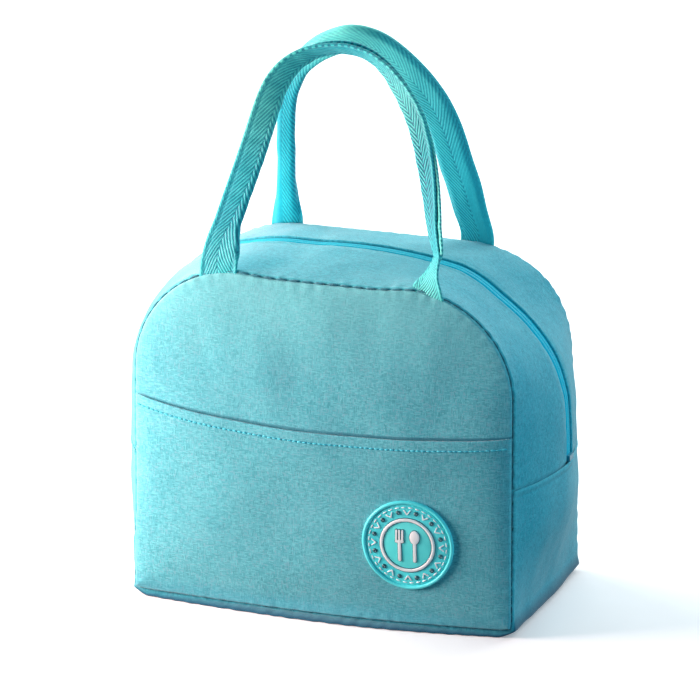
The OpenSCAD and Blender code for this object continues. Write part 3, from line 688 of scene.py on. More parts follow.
def thread_mat(name, low, high):
    N = Nodes(name)
    p = N.place()
    x, y, z = N.split(p)
    twist = N.m("SINE", N.m("MULTIPLY", N.m("ADD", N.m("ADD", x, y), z), 2 * PI / 0.55))
    n = N.noise(p, 0.35, 2.0)
    c = N.ramp(N.m("ADD", N.m("MULTIPLY", twist, 0.22), n), [(0.25, low), (0.8, high)])
    return N.done(c, N.span(n, 0.3, 0.7, 0.45, 0.65), N.bump(twist, 0.00008, 0.5), Sheen_Weight=0.2, Specular_IOR_Level=0.4)


def lining_mat(name):
    N = Nodes(name)
    p = N.place()
    n1 = N.noise(p, 0.05, 5.0, 0.6, 0.6)
    n2 = N.noise(p, 0.22, 4.0, 0.6, 1.2)
    vor = N.new("ShaderNodeTexVoronoi", feature="DISTANCE_TO_EDGE")
    N.put(vor.inputs["Vector"], p)
    vor.inputs["Scale"].default_value = 0.11
    crease = N.m("SUBTRACT", 1.0, N.span(vor.outputs["Distance"], 0.0, 0.10), clamped=True)
    c = N.ramp(n1, [(0.25, srgb(196, 201, 204)), (0.75, srgb(228, 232, 233))])
    h = N.m("ADD", N.m("MULTIPLY", n2, 1.0), N.m("MULTIPLY", crease, 0.5))
    return N.done(c, N.span(n2, 0.25, 0.75, 0.22, 0.42), N.bump(h, 0.0005, 0.7), Metallic=0.55, Specular_IOR_Level=0.5)


def rubber_mat(name, low, high, gloss=0.38):
    N = Nodes(name)
    p = N.place()
    n1 = N.noise(p, 0.04, 3.0)
    n2 = N.noise(p, 1.4, 4.0, 0.6)
    # paler where the mesh's edge value is set: on the badge, the top of the raised rim
    edge_pale = N.attr("edge")
    c = N.ramp(n1, [(0.25, low), (0.75, high)])
    c = N.mix(N.m("MULTIPLY", edge_pale, 0.35), c, tuple(min(1.0, x * 1.25 + 0.03) for x in high))
    return N.done(c, N.span(n2, 0.3, 0.7, gloss - 0.06, gloss + 0.10), N.bump(n2, 0.00005, 0.5), Specular_IOR_Level=0.45, Coat_Weight=0.08, Coat_Roughness=0.3)


def metal_mat(name):
    N = Nodes(name)
    p = N.place()
    x, y, z = N.split(p)
    brush = N.noise(N.join(N.m("MULTIPLY", x, 6.0), N.m("MULTIPLY", y, 6.0), N.m("MULTIPLY", z, 0.6)), 1.0, 4.0, 0.6)
    n1 = N.noise(p, 0.3, 3.0)
    geo = N.new("ShaderNodeNewGeometry")
    wear = N.span(geo.outputs["Pointiness"], 0.5, 0.58)
    c = N.ramp(n1, [(0.25, srgb(158, 166, 172)), (0.75, srgb(196, 202, 206))])
    c = N.mix(N.m("MULTIPLY", wear, 0.5), c, srgb(228, 231, 232))
    return N.done(c, N.span(brush, 0.3, 0.7, 0.20, 0.36), N.bump(brush, 0.00003, 0.5), Metallic=1.0)


M = {}
M["fabric"] = fabric_mat("fabric_oxford")
M["fabric_front"] = fabric_mat("fabric_oxford_front", mouth_line=True, z_at=300.0)
M["fabric_pocket"] = fabric_mat("fabric_oxford_pocket", z_at=731.0)
# side band and zip strips: a bluer copy of the same fabric with finer flecks, tinted as painted shade under cool light,
# with darker painted shade at the base
M["fabric_side"] = fabric_mat("fabric_oxford_side", (0.62, 0.99, 1.02), long_u=1.7, long_v=1.1, weft_share=0.60, painted_shade_to=(8, 66, 94))
M["webbing"] = webbing_mat("webbing_herringbone", srgb(0, 112, 138), srgb(8, 166, 182), srgb(74, 232, 224), srgb(124, 246, 224))
# the back handle's copy of the same webbing is a little brighter and bluer: painted light
M["webbing_back"] = webbing_mat("webbing_herringbone_back", srgb(0, 120, 144), srgb(6, 176, 194), srgb(62, 228, 230), srgb(132, 248, 222))
M["zip_tape"] = tape_mat("zip_tape_woven", srgb(6, 166, 200), srgb(34, 228, 242))
M["zip_coil"] = tape_mat("zip_coil_nylon", srgb(20, 150, 172), srgb(80, 206, 214), 0.4)
# dark seam thread: partly thread, partly painted shadow of the seam gap
M["thread_dark"] = thread_mat("thread_teal_and_seam_shade", srgb(12, 98, 116), srgb(28, 138, 154))
M["thread_cyan"] = thread_mat("thread_cyan", srgb(26, 166, 190), srgb(78, 218, 228))
M["thread_light"] = thread_mat("thread_light", srgb(170, 232, 232), srgb(214, 246, 245))
M["lining"] = lining_mat("lining_film")
M["binding"] = tape_mat("binding_tape", srgb(20, 134, 156), srgb(58, 190, 202), 0.8)
M["badge"] = rubber_mat("badge_rubber", srgb(66, 220, 228), srgb(92, 236, 238))
M["badge_inner"] = rubber_mat("badge_rubber_inner", srgb(78, 230, 228), srgb(108, 244, 240))
M["badge_light"] = rubber_mat("badge_rubber_white", srgb(232, 240, 240), srgb(250, 252, 252), 0.42)
# dark rubber for the beads, and painted shadow for the shadowlines round the white ring and cutlery
M["badge_dark"] = rubber_mat("badge_rubber_dark_and_shadow", srgb(18, 84, 96), srgb(30, 106, 116), 0.4)
M["metal"] = metal_mat("zip_metal_brushed")
M["stop"] = rubber_mat("zip_stop_painted", srgb(18, 120, 142), srgb(30, 144, 164), 0.35)

# ------------------------------------------------------------------ the walls
PR = 0.45                                       # the fabric stands this proud of the CAD faces
FOAM_IN = 4.9


def panel_u(x, z):
    return x / np.maximum(half_w(z), 1.0)


def panel_crown(x, z, e):
    u = clamp(np.abs(panel_u(x, z)))
    w = clamp(np.abs((z - 99.5) / 95.5))
    return 7.0 * (1 - u ** 2.6) * (1 - w ** 2.6) + 1.5 * (1 - np.exp(-e / 5.0))


def feet_dent(x, z, side):
    c = 60.0 if side < 0 else 57.0
    d = 0.0
    for s in (-1, 1):
        d = d + np.exp(-((x - s * c) / 15.0) ** 2 - ((Z1 - z) / 9.0) ** 2)
    return -0.7 * d


def ring_inset(t, e):
    """A point of the outline moved in by e, square to the outline."""
    x, z, nx, nz = outline(t)
    return x - nx * e, z - nz * e


def seam_pucker(t, e, seed=0.0):
    a = pucker_a(t + seed) * (0.09 + 0.05 * sm((np.abs(t) - 45.0) / 25.0)) * np.exp(-(e / 5.0) ** 2)
    b = 0.06 * np.cos(2 * PI * t / 6.0) * np.exp(-((e - 2.0) / 2.4) ** 2) * (0.3 + 0.7 * sm((np.abs(t) - 45.0) / 25.0))
    return a + b


def panel_depth(x, z, e, t, side):
    und = (soft_front if side < 0 else soft_back)(x, z) * 0.30 * (1 - np.exp(-e / 14.0))
    und = und + lay(CLOTH_FRONT if side < 0 else CLOTH_BACK, x, z) * sm((e - 2.4) / 9.0)
    return panel_crown(x, z, e) + und + feet_dent(x, z, side) * (1 - np.exp(-e / 1.5)) + PR + seam_pucker(t, e, 40.0 * side)


def pocket_top(x):
    """Height of the pocket's mouth: a shallow arc, a little lower at the right seam."""
    p = np.asarray(x, float) / HW
    return 110.4 + np.where(p < 0, 9.1, 5.7) * p * p


def pocket_hollow(x, z):
    """The front panel gives way a little behind the mouth of the pocket."""
    top = pocket_top(x)
    u = clamp(np.abs(panel_u(x, z)))
    return (0.2 + 0.3 * (1 - u ** 4)) * sm((top + 1.8 - z) / 3.0) * sm((u < 2) * (z - 70.0) / 30.0)


def panel_y(depth, z, side):
    return -(HD + depth) if side < 0 else back_y(z) + depth


def panel(side):
    n = 764
    t = -T5 + 2 * T5 * np.arange(n) / n
    prof = roll_profile()
    e = list(prof[:, 0]) + [2.7, 3.2, 3.9, 4.8, 6.0]
    q = list(prof[:, 1]) + [0.0] * 5
    rho = list(1 - (np.arange(1, 33) / 32.6) ** 0.93)
    m = len(e) + len(rho)
    X, Z, E, Q = [np.zeros((n, m)) for _ in range(4)]
    XI, ZI = np.zeros((n, m)), np.zeros((n, m))
    e_in = np.linspace(5.3, 6.2, len(e))
    for j in range(len(e)):
        X[:, j], Z[:, j] = ring_inset(t, e[j] - PR)
        XI[:, j], ZI[:, j] = ring_inset(t, e_in[j])
        E[:, j], Q[:, j] = e[j], q[j]
    for i, r in enumerate(rho):
        j = len(e) + i
        X[:, j], Z[:, j] = X[:, len(e) - 1] * r, 99.5 + (Z[:, len(e) - 1] - 99.5) * r
        XI[:, j], ZI[:, j] = XI[:, len(e) - 1] * r, 99.5 + (ZI[:, len(e) - 1] - 99.5) * r
        E[:, j] = 6.0 + (1 - r) * 90
    TT = np.repeat(t[:, None], m, 1)
    D = panel_depth(X, Z, E, TT, side)
    if side < 0:
        D = D - pocket_hollow(X, Z) * sm((E - 3.0) / 4.0)
    OUT = np.stack([X, panel_y(D - Q, Z, side), Z], -1)
    crown_in = 7.6 * (1 - clamp(np.abs(panel_u(XI, ZI))) ** 3.2) * (1 - clamp(np.abs((ZI - 99.5) / 95.5)) ** 3.2)
    DI = np.minimum(crown_in, panel_crown(XI, ZI, E) + feet_dent(XI, ZI, side) + 0.2) - FOAM_IN
    INN = np.stack([XI, panel_y(DI, ZI, side), ZI], -1)
    if side > 0:
        OUT[..., 2] -= 4.0 * lift(OUT[..., 2])
        INN[..., 2] -= 4.0 * lift(INN[..., 2])
    V = np.concatenate([OUT.reshape(-1, 3), INN.reshape(-1, 3), OUT[:, -1].mean(0)[None], INN[:, -1].mean(0)[None]])
    o = n * m
    i = np.arange(n)
    i2 = (i + 1) % n
    q4 = [grid_quads(n, m, True), grid_quads(n, m, True, o)[:, ::-1], np.stack([i * m, o + i * m, o + i2 * m, i2 * m], -1)]
    tr = np.concatenate([np.stack([i * m + m - 1, i2 * m + m - 1, np.full(n, 2 * o)], -1),
                         np.stack([o + i2 * m + m - 1, o + i * m + m - 1, np.full(n, 2 * o + 1)], -1)])
    uv = V[:, [0, 2]] * [0.01 if side < 0 else -0.01, 0.01] + 3.0
    # edge value: paler seam roll, partly wear and partly painted highlight
    edge = np.exp(-(np.maximum(E - 1.0, 0) / 2.2) ** 2)
    ed = np.concatenate([edge.ravel(), np.zeros(o), [0, 0]])
    ob = build("front_panel" if side < 0 else "back_panel", V, np.concatenate(q4), tr, uv, {"edge": ed}, M["fabric_front" if side < 0 else "fabric"])
    return ob


def gusset_xyz(t, v, d):
    x, z, nx, nz = outline(t)
    left = 1.5 * sm((np.abs(t) - 128.0) / 24.0) * (1 - sm((np.abs(t) - 252.0) / 16.0)) * (np.asarray(t) < 0)
    off = bulge(t) * across(v, flatness(t)) + left * 2 * (1 - v * v) * sm((-v - 0.2) / 0.4) - d
    y = mid_y(z) + v * half_depth(z)
    return np.stack([x + nx * off, y, z + nz * off - 4.0 * lift(z) * (1 + v) / 2], -1)


def gusset_pt(t, e, d, side, from_zip=None):
    """A gusset point at a distance e from the side's seam, or from_zip from the zip line."""
    x, z, nx, nz = outline(t)
    hd = half_depth(z)
    a = (hd - e) if from_zip is None else from_zip
    v = side * a / hd
    return gusset_xyz(t, v, d)


def side_wobble(t, y):
    return 0.35 * soft_side(t, y) + 0.08 * fine_side(t, y)


def zip_strip(side):
    n = 486
    t = np.linspace(-T_ZIP - 3.5, T_ZIP + 3.5, n)
    prof = roll_profile()
    x, z, nx, nz = outline(t)
    hd = half_depth(z)
    rows = []                                   # (distance from the seam as a function of t, depth, inner distance, inner depth)
    for k, (e, q) in enumerate(prof):
        rows.append((np.full(n, e - PR), q - PR, np.full(n, 5.3 + 0.03 * k), FOAM_IN + 0.1, e))
    for e in (2.9, 3.6, 4.6, 5.8):
        rows.append((np.full(n, e - PR), -PR, np.full(n, 5.6 + 0.1 * e), FOAM_IN + 0.1, e))
    a_end = 6.55
    for k in range(1, 37):
        f = k / 36.0
        e = 5.4 + (hd - a_end - 5.4) * f
        ei = 6.2 + (hd - a_end - 6.2) * f
        deep = 0.95 + (FOAM_IN + 0.1 - 0.95) * sm((hd - ei - 12.6) / 1.6)
        rows.append((e, -PR, ei, deep, np.full(n, 20.0)))
    m0 = len(rows)
    for a in np.radians([25, 50, 75, 100, 130]):
        rows.append((hd - a_end + 0.62 * math.sin(a), -PR + 0.62 * (1 - math.cos(a)), hd - a_end + 0.02 * math.sin(a), 0.97, np.full(n, 20.0)))
    m = len(rows)
    OUT, INN = np.zeros((n, m, 3)), np.zeros((n, m, 3))
    Eg = np.zeros((n, m))
    low = 1.15 * sm((np.abs(t) - T_ZIP + 2.0) / 2.5)          # the lower ends tuck under the side band
    for j, (e, d, ei, di, ee) in enumerate(rows):
        y = np.asarray(e) * 1.0
        puck = seam_pucker(t, ee if np.ndim(ee) == 0 else ee, 90.0 * side)
        zipedge = np.exp(-((hd - y - 6.2) / 2.0) ** 2)
        lumps = 0.05 * pucker_b(t + 31 * side) * zipedge + 0.07 * np.cos(2 * PI * t / 3.2) * np.exp(-((hd - y - 8.6) / 1.0) ** 2)
        plump = -0.25 * np.exp(-((hd - y - 8.6) / 0.55) ** 2) if j < m0 else 0.0
        wob = side_wobble(t, y * side) * (1 - np.exp(-(y / 8.0) ** 2)) * (1 - zipedge)
        OUT[:, j] = gusset_pt(t, e, d - puck - lumps - plump - wob + low, side)
        INN[:, j] = gusset_pt(t, ei, np.maximum(di, 0) + low + 0 * t, side)
        # edge value: paler seam roll and a paler band on the folded zip edge, partly wear and partly painted highlight
        Eg[:, j] = np.exp(-(np.maximum((prof[j, 0] if j < len(prof) else 9) - 1.0, 0) / 2.2) ** 2) if j < len(prof) else (0.6 * np.exp(-((hd - y - 6.3) / 1.3) ** 2))
    uv = np.stack([np.repeat(t[:, None], m, 1), np.repeat((np.arange(m) * 1.25)[None], n, 0)], -1) * 0.01 + (5.0 if side < 0 else 8.0)
    hdm = hd[:, None]
    uv[..., 1] = (OUT[..., 1] * 0.01) + 5
    return slab("zip_strip_front" if side < 0 else "zip_strip_back", OUT, INN, uv, {"edge": Eg}, M["fabric_side"])


def side_band():
    s0, s1 = T_ZIP, 2 * T5 - T_ZIP
    n = 470
    s = np.linspace(s0, s1, n)
    # a folded edge at each top end
    s = np.concatenate([[s0 + 0.9, s0 + 0.25, s0 - 0.15], s[1:-1], [s1 + 0.15, s1 - 0.25, s1 - 0.9]])
    fold = np.concatenate([[1.1, 0.75, 0.2], np.zeros(n - 2), [0.2, 0.75, 1.1]])
    n = len(s)
    t = np.where(s <= T5, s, s - 2 * T5)
    prof = roll_profile()
    rows = []
    for k, (e, q) in enumerate(prof):
        rows.append((e - PR, q - PR, 5.3 + 0.03 * k, e))
    for e in (2.9, 3.6, 4.6, 6.0, 7.6, 9.4, 11.5):
        rows.append((e - PR, -PR, 5.6 + 0.1 * e if e < 6 else e + 0.3, e))
    half = rows + [(14.0 + 2.3 * k, -PR, 14.0 + 2.3 * k, 30.0) for k in range(20)]
    full = [(r, -1) for r in half] + [(r, 1) for r in half[::-1]]
    m = len(full)
    OUT, INN, Eg, painted_shade = np.zeros((n, m, 3)), np.zeros((n, m, 3)), np.zeros((n, m)), np.zeros((n, m))
    scal = 0.16 * np.abs(np.sin(PI * (s + 4) / 8.3)) * sm((np.abs(t) - T3 + 30) / 40)
    puff = sm((np.abs(t) - T3 + 9.0) / (FR * PI / 2 + 9.0))
    puff = puff * (0.30 + 0.70 * clamp(1 - (outline(t)[0] / HW) ** 2) ** 0.8)
    ripple = 1 + 0.025 * pucker_b(s + 5.0) + 0.015 * np.cos(2 * PI * s / 8.3)
    for j, ((e, q, ei, ee), sd) in enumerate(full):
        y = sd * (HD - e)
        puck = seam_pucker(s, ee, 140.0 + 60 * sd) + (scal - 0.1) * np.exp(-((ee - 4.5) / 4.0) ** 2)
        topseam = 0.45 * np.exp(-((np.abs(t) - T_ZIP - 1.5) / 1.5) ** 2) - 0.35 * np.exp(-((np.abs(t) - T_ZIP - 4.2) / 0.7) ** 2)
        wob = side_wobble(s, y) * (1 - np.exp(-(e / 10.0) ** 2)) * (1 - 0.6 * flatness(t))
        hdz = half_depth(outline(t)[1])
        v = y / hdz - mid_y(outline(t)[1]) / hdz
        out = float(np.interp(e, [1.1, 1.84, 2.25, 2.75, 3.45, 4.35, 5.55, 7.15, 8.95, 11.0, 14.0, 18.0], [0, 1.2, 2.9, 4.7, 6.4, 7.6, 8.0, 7.2, 5.5, 3.5, 1.4, 0]))
        drop = float(np.interp(e, [0.0, 1.84, 2.25, 2.75, 3.45, 4.35, 5.55, 7.15], [0, 0.06, 0.16, 0.36, 0.62, 0.84, 0.96, 1.0]))
        now = 1 - clamp((np.abs(v) - 0.9) / 0.1) ** 2
        OUT[:, j] = gusset_xyz(t, v, q - puck - topseam - wob + fold + 4.0 * (now - drop) * puff * flatness(t) * (e < 14))
        OUT[:, j, 1] += sd * out * puff * ripple
        vi = sd * (HD - ei) / hdz
        INN[:, j] = gusset_xyz(t, vi, FOAM_IN + 0.1 - 0.0 * t)
        # edge value: paler seam rolls and folded top ends, partly wear and partly painted highlight
        Eg[:, j] = (np.exp(-(max(ee - 1.0, 0) / 2.2) ** 2) + 0.5 * np.exp(-((np.abs(t) - T_ZIP) / 1.2) ** 2)) * (1 - flatness(t))
        # deep value: painted shade on the base band under the bag, weaker on the seam rolls
        painted_shade[:, j] = sm((np.abs(t) - T3 + 2.0) / 10.0) * (0.35 + 0.65 * sm((e - 1.0) / 2.4))
    OUT[..., 2] = np.maximum(OUT[..., 2], 0.02)
    uv = np.stack([np.repeat(s[:, None], m, 1) * 0.01 + 1, OUT[..., 1] * 0.01 + 2], -1)
    return slab("side_base_wall", OUT, INN, uv, {"edge": clamp(Eg), "deep": clamp(painted_shade)}, M["fabric_side"])


fp, bp = panel(-1), panel(1)
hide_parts("front_panel_lower", "front_panel_upper", "front_foam_lower", "front_foam_upper")
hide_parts("back_panel_lower", "back_panel_upper", "back_foam_lower", "back_foam_upper")
zf, zb = zip_strip(-1), zip_strip(1)
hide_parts("zip_gusset_front_lower", "zip_gusset_front_upper", "gusset_foam_front_upper", "gusset_foam_lower")
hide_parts("zip_gusset_back_lower", "zip_gusset_back_upper", "gusset_foam_back_upper", "gusset_foam_lower")
sb = side_band()
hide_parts("side_base_band", "side_base_foam")


def mouth(ob):
    """Bakes the piece's world transform into its mesh."""
    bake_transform(ob)
    return ob


mouth(fp)
mouth(bp)
mouth(zf)
mouth(zb)
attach(sb, "tub")
for o, f in ((fp, 0.7), (bp, 0.7), (zf, 0.6), (zb, 0.6), (sb, 0.6)):
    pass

# ------------------------------------------------------------------ pocket
PK_Z = 113.0
_PR = roll_profile(hidden=0.7)
_seg = np.concatenate([[0.0], np.cumsum(np.hypot(*np.diff(_PR, axis=0).T))])
TAU_END = _seg[-1]


def tau_eq(tau):
    """Real inset and depth for a distance measured along the seam roll and on over the face."""
    e = np.where(tau < TAU_END, np.interp(tau, _seg, _PR[:, 0]), R_END + tau - TAU_END)
    return e, np.interp(tau, _seg, _PR[:, 1])


def pocket_slack(x, z):
    u = clamp(np.abs(panel_u(x, z)))
    return 0.1 + 1.2 * (1 - u ** 5) * sm((z - 34) / 76.0) + 0.3 * (1 - u ** 7)


def pocket_face(x, z):
    """Depth of the pocket's outer face in front of the plain front plane, away from the seams."""
    e = np.minimum(HW - np.abs(x), z - Z0)
    relief = soft_front(x, z) * 0.30 * (1 - np.exp(-np.maximum(e, 0) / 14.0)) + (lay(CLOTH_POCKET, x, z) + 0.35 * lay(CLOTH_FRONT, x, z) + 0.2) * sm((e - 2.4) / 9.0)
    return panel_crown(x, z, np.maximum(e, 0)) + relief + PR + 0.75 + pocket_slack(x, z)


def pocket():
    k = 1
    side = np.concatenate([_seg, TAU_END + np.array([0.5, 1.1, 1.8, 2.7, 3.8, 5.0, 6.4, 8.0])])
    R_TAU = TAU_END + FR + PR - R_END            # where the rounded corner's centre is
    inner = np.linspace(side[-1] + 1.4, TAU_END + HW + PR - R_END, 72 // k)
    a_half = np.concatenate([side, inner])
    A = np.concatenate([a_half, a_half[-2::-1]])
    sgn = np.concatenate([-np.ones(len(a_half)), np.ones(len(a_half) - 1)])
    top_tau = TAU_END + (PK_Z - Z0 + PR) - R_END
    rows_b = np.concatenate([side, np.linspace(side[-1] + 1.4, top_tau - 0.9, 70 // k)])
    B = np.repeat(rows_b[None], len(A), 0)
    AA = np.repeat(A[:, None], len(rows_b), 1)
    SG = np.repeat(sgn[:, None], len(rows_b), 1)
    # square corner to round corner
    ca, cb = np.maximum(R_TAU - AA, 0), np.maximum(R_TAU - B, 0)
    mx = np.maximum(ca, cb)
    ds = np.maximum(np.hypot(ca, cb), 1e-9)
    tau = np.where((ca > 0) & (cb > 0), R_TAU - mx, np.minimum(AA, B))
    e, q = tau_eq(tau)
    eA, _ = tau_eq(AA)
    eB, _ = tau_eq(B)
    corner = (ca > 0) & (cb > 0)
    rad = FR - (e - PR)
    X = np.where(corner, SG * (HW - FR + rad * ca / ds), SG * (HW - (eA - PR)))
    Z = np.where(corner, Z0 + FR - rad * cb / ds, Z0 + (eB - PR))
    top = pocket_top(X)
    Z = Z + sm((Z - 22) / 66.0) * (top - PK_Z) * np.where(Z > 22, 1.0, 0.0)
    base = pocket_face(X, Z)
    tt = np.where(np.abs(X) > HW - 20, T2 + ZA - Z, T5 - np.abs(X))
    near = np.exp(-e / 3.0)
    dist_top = top - Z
    hem = 0.32 * sm((9.6 - dist_top) / 1.2) - 0.16 * np.exp(-((dist_top - 5.8) / 0.9) ** 2) * (1 + 0.35 * np.cos(2 * PI * X / 3.0))
    crease = 0.10 * np.cos(2 * PI * X / 3.0 + 0.6) * np.exp(-((dist_top - 5.8) / 2.2) ** 2)
    D = base - 0.55 * near + seam_pucker(tt, e, -40.0) + hem + crease - q * (1 - 0.0)
    OUT = np.stack([X, -(HD + D), Z], -1)
    q2 = q * (1 - 0.0)
    DI = base - 0.55 * near - 0.85 - q2 + 0.25 * (q > 0.3)
    INN = np.stack([X, -(HD + DI), Z], -1)
    # the folded top edge
    ex_o, ex_i = [], []
    x1, z1 = X[:, -1], Z[:, -1]
    for a in np.radians([30, 60, 90]):
        yo = OUT[:, -1, 1] + 0.5 * (1 - math.cos(a))
        ex_o.append(np.stack([x1, yo, z1 + 0.7 * math.sin(a)], -1))
        yi = INN[:, -1, 1] + 0.35 - 0.3 * (1 - math.cos(a)) * 1.0
        ex_i.append(np.stack([x1, yi, z1 + 0.7 * math.sin(a) - 0.02], -1))
    OUT = np.concatenate([OUT, np.stack(ex_o, 1)], 1)
    INN[:, -4:, 1] += np.linspace(0.0, 0.35, 5)[1:][None, :]
    INN = np.concatenate([INN, np.stack(ex_i, 1)], 1)
    # edge value: paler seam roll and a paler band at the hem under the mouth, partly wear and partly painted highlight
    edge = clamp(0.9 * np.exp(-(np.maximum(e - 1.0, 0) / 2.2) ** 2) + 0.12 * sm((6.4 - dist_top) / 1.0))
    edge = np.concatenate([edge, np.repeat(edge[:, -1:], 3, 1)], 1)
    uv = OUT[..., [0, 2]] * 0.01 + 7.31
    # deep value: painted shade on the last rows of the folded lip, a dark line along the pocket's mouth
    deep = np.zeros(edge.shape)
    deep[:, -4:] = np.array([0.0, 0.0, 0.06, 0.45])[None]
    return slab("front_pocket_cloth", OUT, INN, uv, {"edge": edge, "deep": deep}, M["fabric_pocket"])


pk = pocket()
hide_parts("front_pocket")
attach(pk, "tub")


def hem():
    n = 150
    x = np.linspace(-105.5, 105.5, n)
    top = pocket_top(x)
    OUT, INN = [], []
    for k, dz in enumerate([0.9, 1.1, 1.6, 2.4, 3.6, 5.0, 6.4, 7.8, 8.6, 8.95, 9.1]):
        z = top - dz
        d = pocket_face(x, z) - 0.95 - (0.35 if k in (0, 10) else 0.0)
        OUT.append(np.stack([x, -(HD + d), z], -1))
        INN.append(np.stack([x, -(HD + d - (0.75 if k not in (0, 10) else 0.2)), z], -1))
    OUT, INN = np.stack(OUT, 1), np.stack(INN, 1)
    return slab("pocket_hem_fold", OUT, INN, OUT[..., [0, 2]] * 0.01 + 2.2, {"edge": np.zeros(OUT.shape[:2])}, M["fabric"])


hm = hem()
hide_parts("pocket_hem")
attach(hm, "tub")

paths = []
x = -108.0
while x < 105.4:
    xs = np.linspace(x, x + 2.8, 5)
    z = pocket_top(xs) - 5.8
    d = pocket_face(xs, z) + 0.32 + np.array([-0.06, 0.03, 0.06, 0.03, -0.06])
    paths.append((np.stack([xs, -(HD + d), z], -1), (0, -1, 0)))
    x += 2.95
ts = tubes("pocket_topstitch_thread", paths, 0.54, 8, M["thread_cyan"])
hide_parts("pocket_topstitch")
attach(ts, "tub")

# ------------------------------------------------------------------ badge
BX, BZ = 52.3, 50.9


def badge_map(p, q, h):
    """Local badge point (p right, q up, h off the pocket) laid on the pocket's face."""
    p, q, h = np.broadcast_arrays(np.asarray(p, float), np.asarray(q, float), np.asarray(h, float))
    x, z = BX + p, BZ + q
    d0 = pocket_face(x, z)
    g = 0.5
    dx = (pocket_face(x + g, z) - pocket_face(x - g, z)) / (2 * g)
    dz = (pocket_face(x, z + g) - pocket_face(x, z - g)) / (2 * g)
    nrm = np.stack([-dx, np.ones_like(dx), -dz], -1)
    nrm /= np.linalg.norm(nrm, axis=-1)[..., None]
    h = h * 0.72
    return np.stack([x + nrm[..., 0] * h, -(HD + d0 + nrm[..., 1] * h), z + nrm[..., 2] * h], -1)


def revolve(name, prof, mat, n=180, edge=None, wob=None):
    """A closed turned form on the badge: prof is (radius, height), from the middle of the face to the middle of the back."""
    prof = np.asarray(prof, float)
    a = np.arange(n) * 2 * PI / n
    r, h = prof[:, 0], prof[:, 1]
    H = np.repeat(h[None], n, 0)
    if wob is not None:
        H = H + wob(a[:, None], r[None])
    P = badge_map(r[None] * np.cos(a)[:, None], r[None] * np.sin(a)[:, None], H)
    m = len(prof)
    V = np.concatenate([P.reshape(-1, 3), badge_map([0], [0], [h[0]]), badge_map([0], [0], [h[-1]])])
    i = np.arange(n)
    i2 = (i + 1) % n
    tr = np.concatenate([np.stack([i2 * m, i * m, np.full(n, n * m)], -1), np.stack([i * m + m - 1, i2 * m + m - 1, np.full(n, n * m + 1)], -1)])
    ed = np.zeros(len(V)) if edge is None else np.concatenate([np.repeat(np.asarray(edge, float)[None], n, 0).ravel(), [0, 0]])
    return build(name, V, grid_quads(n, m, True), tr, V[:, [0, 2]] * 0.01, {"edge": ed}, mat, sharp_deg=50)


base_prof = [(2, 1.5), (6, 1.5), (10, 1.5), (15.9, 1.5), (16.3, 1.42), (16.6, 1.42), (17.0, 1.5), (20, 1.5), (23.0, 1.5), (23.35, 1.40), (23.55, 1.05), (23.85, 1.05), (24.0, 1.5), (24.1, 2.25), (24.35, 2.55), (24.8, 2.7), (25.3, 2.62), (25.7, 2.3), (25.92, 1.8), (26.0, 1.2), (25.95, 0.5), (25.7, 0.05), (25.2, -0.25), (20, -0.3), (8, -0.3), (2, -0.3)]
bb = revolve("badge_base_rubber", base_prof, M["badge"], edge=[0.9 if 24.2 <= r <= 25.5 and h > 2 else 0.0 for r, h in base_prof])
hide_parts("badge_base")
face = revolve("badge_face_inner", [(2, 1.62), (8, 1.62), (12.9, 1.62), (13.2, 1.55), (13.25, 1.35), (8, 1.3), (2, 1.3)], M["badge_inner"])
halo = revolve_halo = None


def ring(name, r0, r1, h0, h1, mat, n=180, soft=0.35):
    k = [(r0, h0), (r0 + 0.02, h1 - soft), (r0 + soft * 0.35, h1 - soft * 0.3), (r0 + soft, h1), ((r0 + r1) / 2, h1 + 0.03), (r1 - soft, h1), (r1 - soft * 0.35, h1 - soft * 0.3), (r1 - 0.02, h1 - soft), (r1, h0)]
    a = np.arange(n) * 2 * PI / n
    r, h = np.array(k).T
    P = badge_map(r[None] * np.cos(a)[:, None], r[None] * np.sin(a)[:, None], np.repeat(h[None], n, 0))
    m = len(k)
    i = np.arange(n)
    i2 = (i + 1) % n
    q = np.concatenate([grid_quads(n, m, True), np.stack([i * m, i2 * m, i2 * m + m - 1, i * m + m - 1], -1)[:, ::-1]])
    V = P.reshape(-1, 3)
    return build(name, V, q, None, V[:, [0, 2]] * 0.01, {"edge": np.zeros(len(V))}, mat)


bring = ring("badge_ring_white", 13.9, 15.6, 1.35, 2.45, M["badge_light"])
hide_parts("badge_ring")
bhalo = ring("badge_ring_shadowline", 13.45, 16.05, 1.3, 1.72, M["badge_dark"], soft=0.12)


def capsule(x0, z0, x1, z1, w, grow=0.0, n=10):
    """Outline of a round-ended bar."""
    d = math.atan2(z1 - z0, x1 - x0)
    r = w / 2 + grow
    pts = [(x1 + r * math.cos(d - PI / 2 + PI * k / n), z1 + r * math.sin(d - PI / 2 + PI * k / n)) for k in range(n + 1)]
    pts += [(x0 + r * math.cos(d + PI / 2 + PI * k / n), z0 + r * math.sin(d + PI / 2 + PI * k / n)) for k in range(n + 1)]
    return pts


def ellipse(cx, cz, a, b, grow=0.0, n=28):
    return [(cx + (a + grow) * math.cos(2 * PI * k / n), cz + (b + grow) * math.sin(2 * PI * k / n)) for k in range(n)]


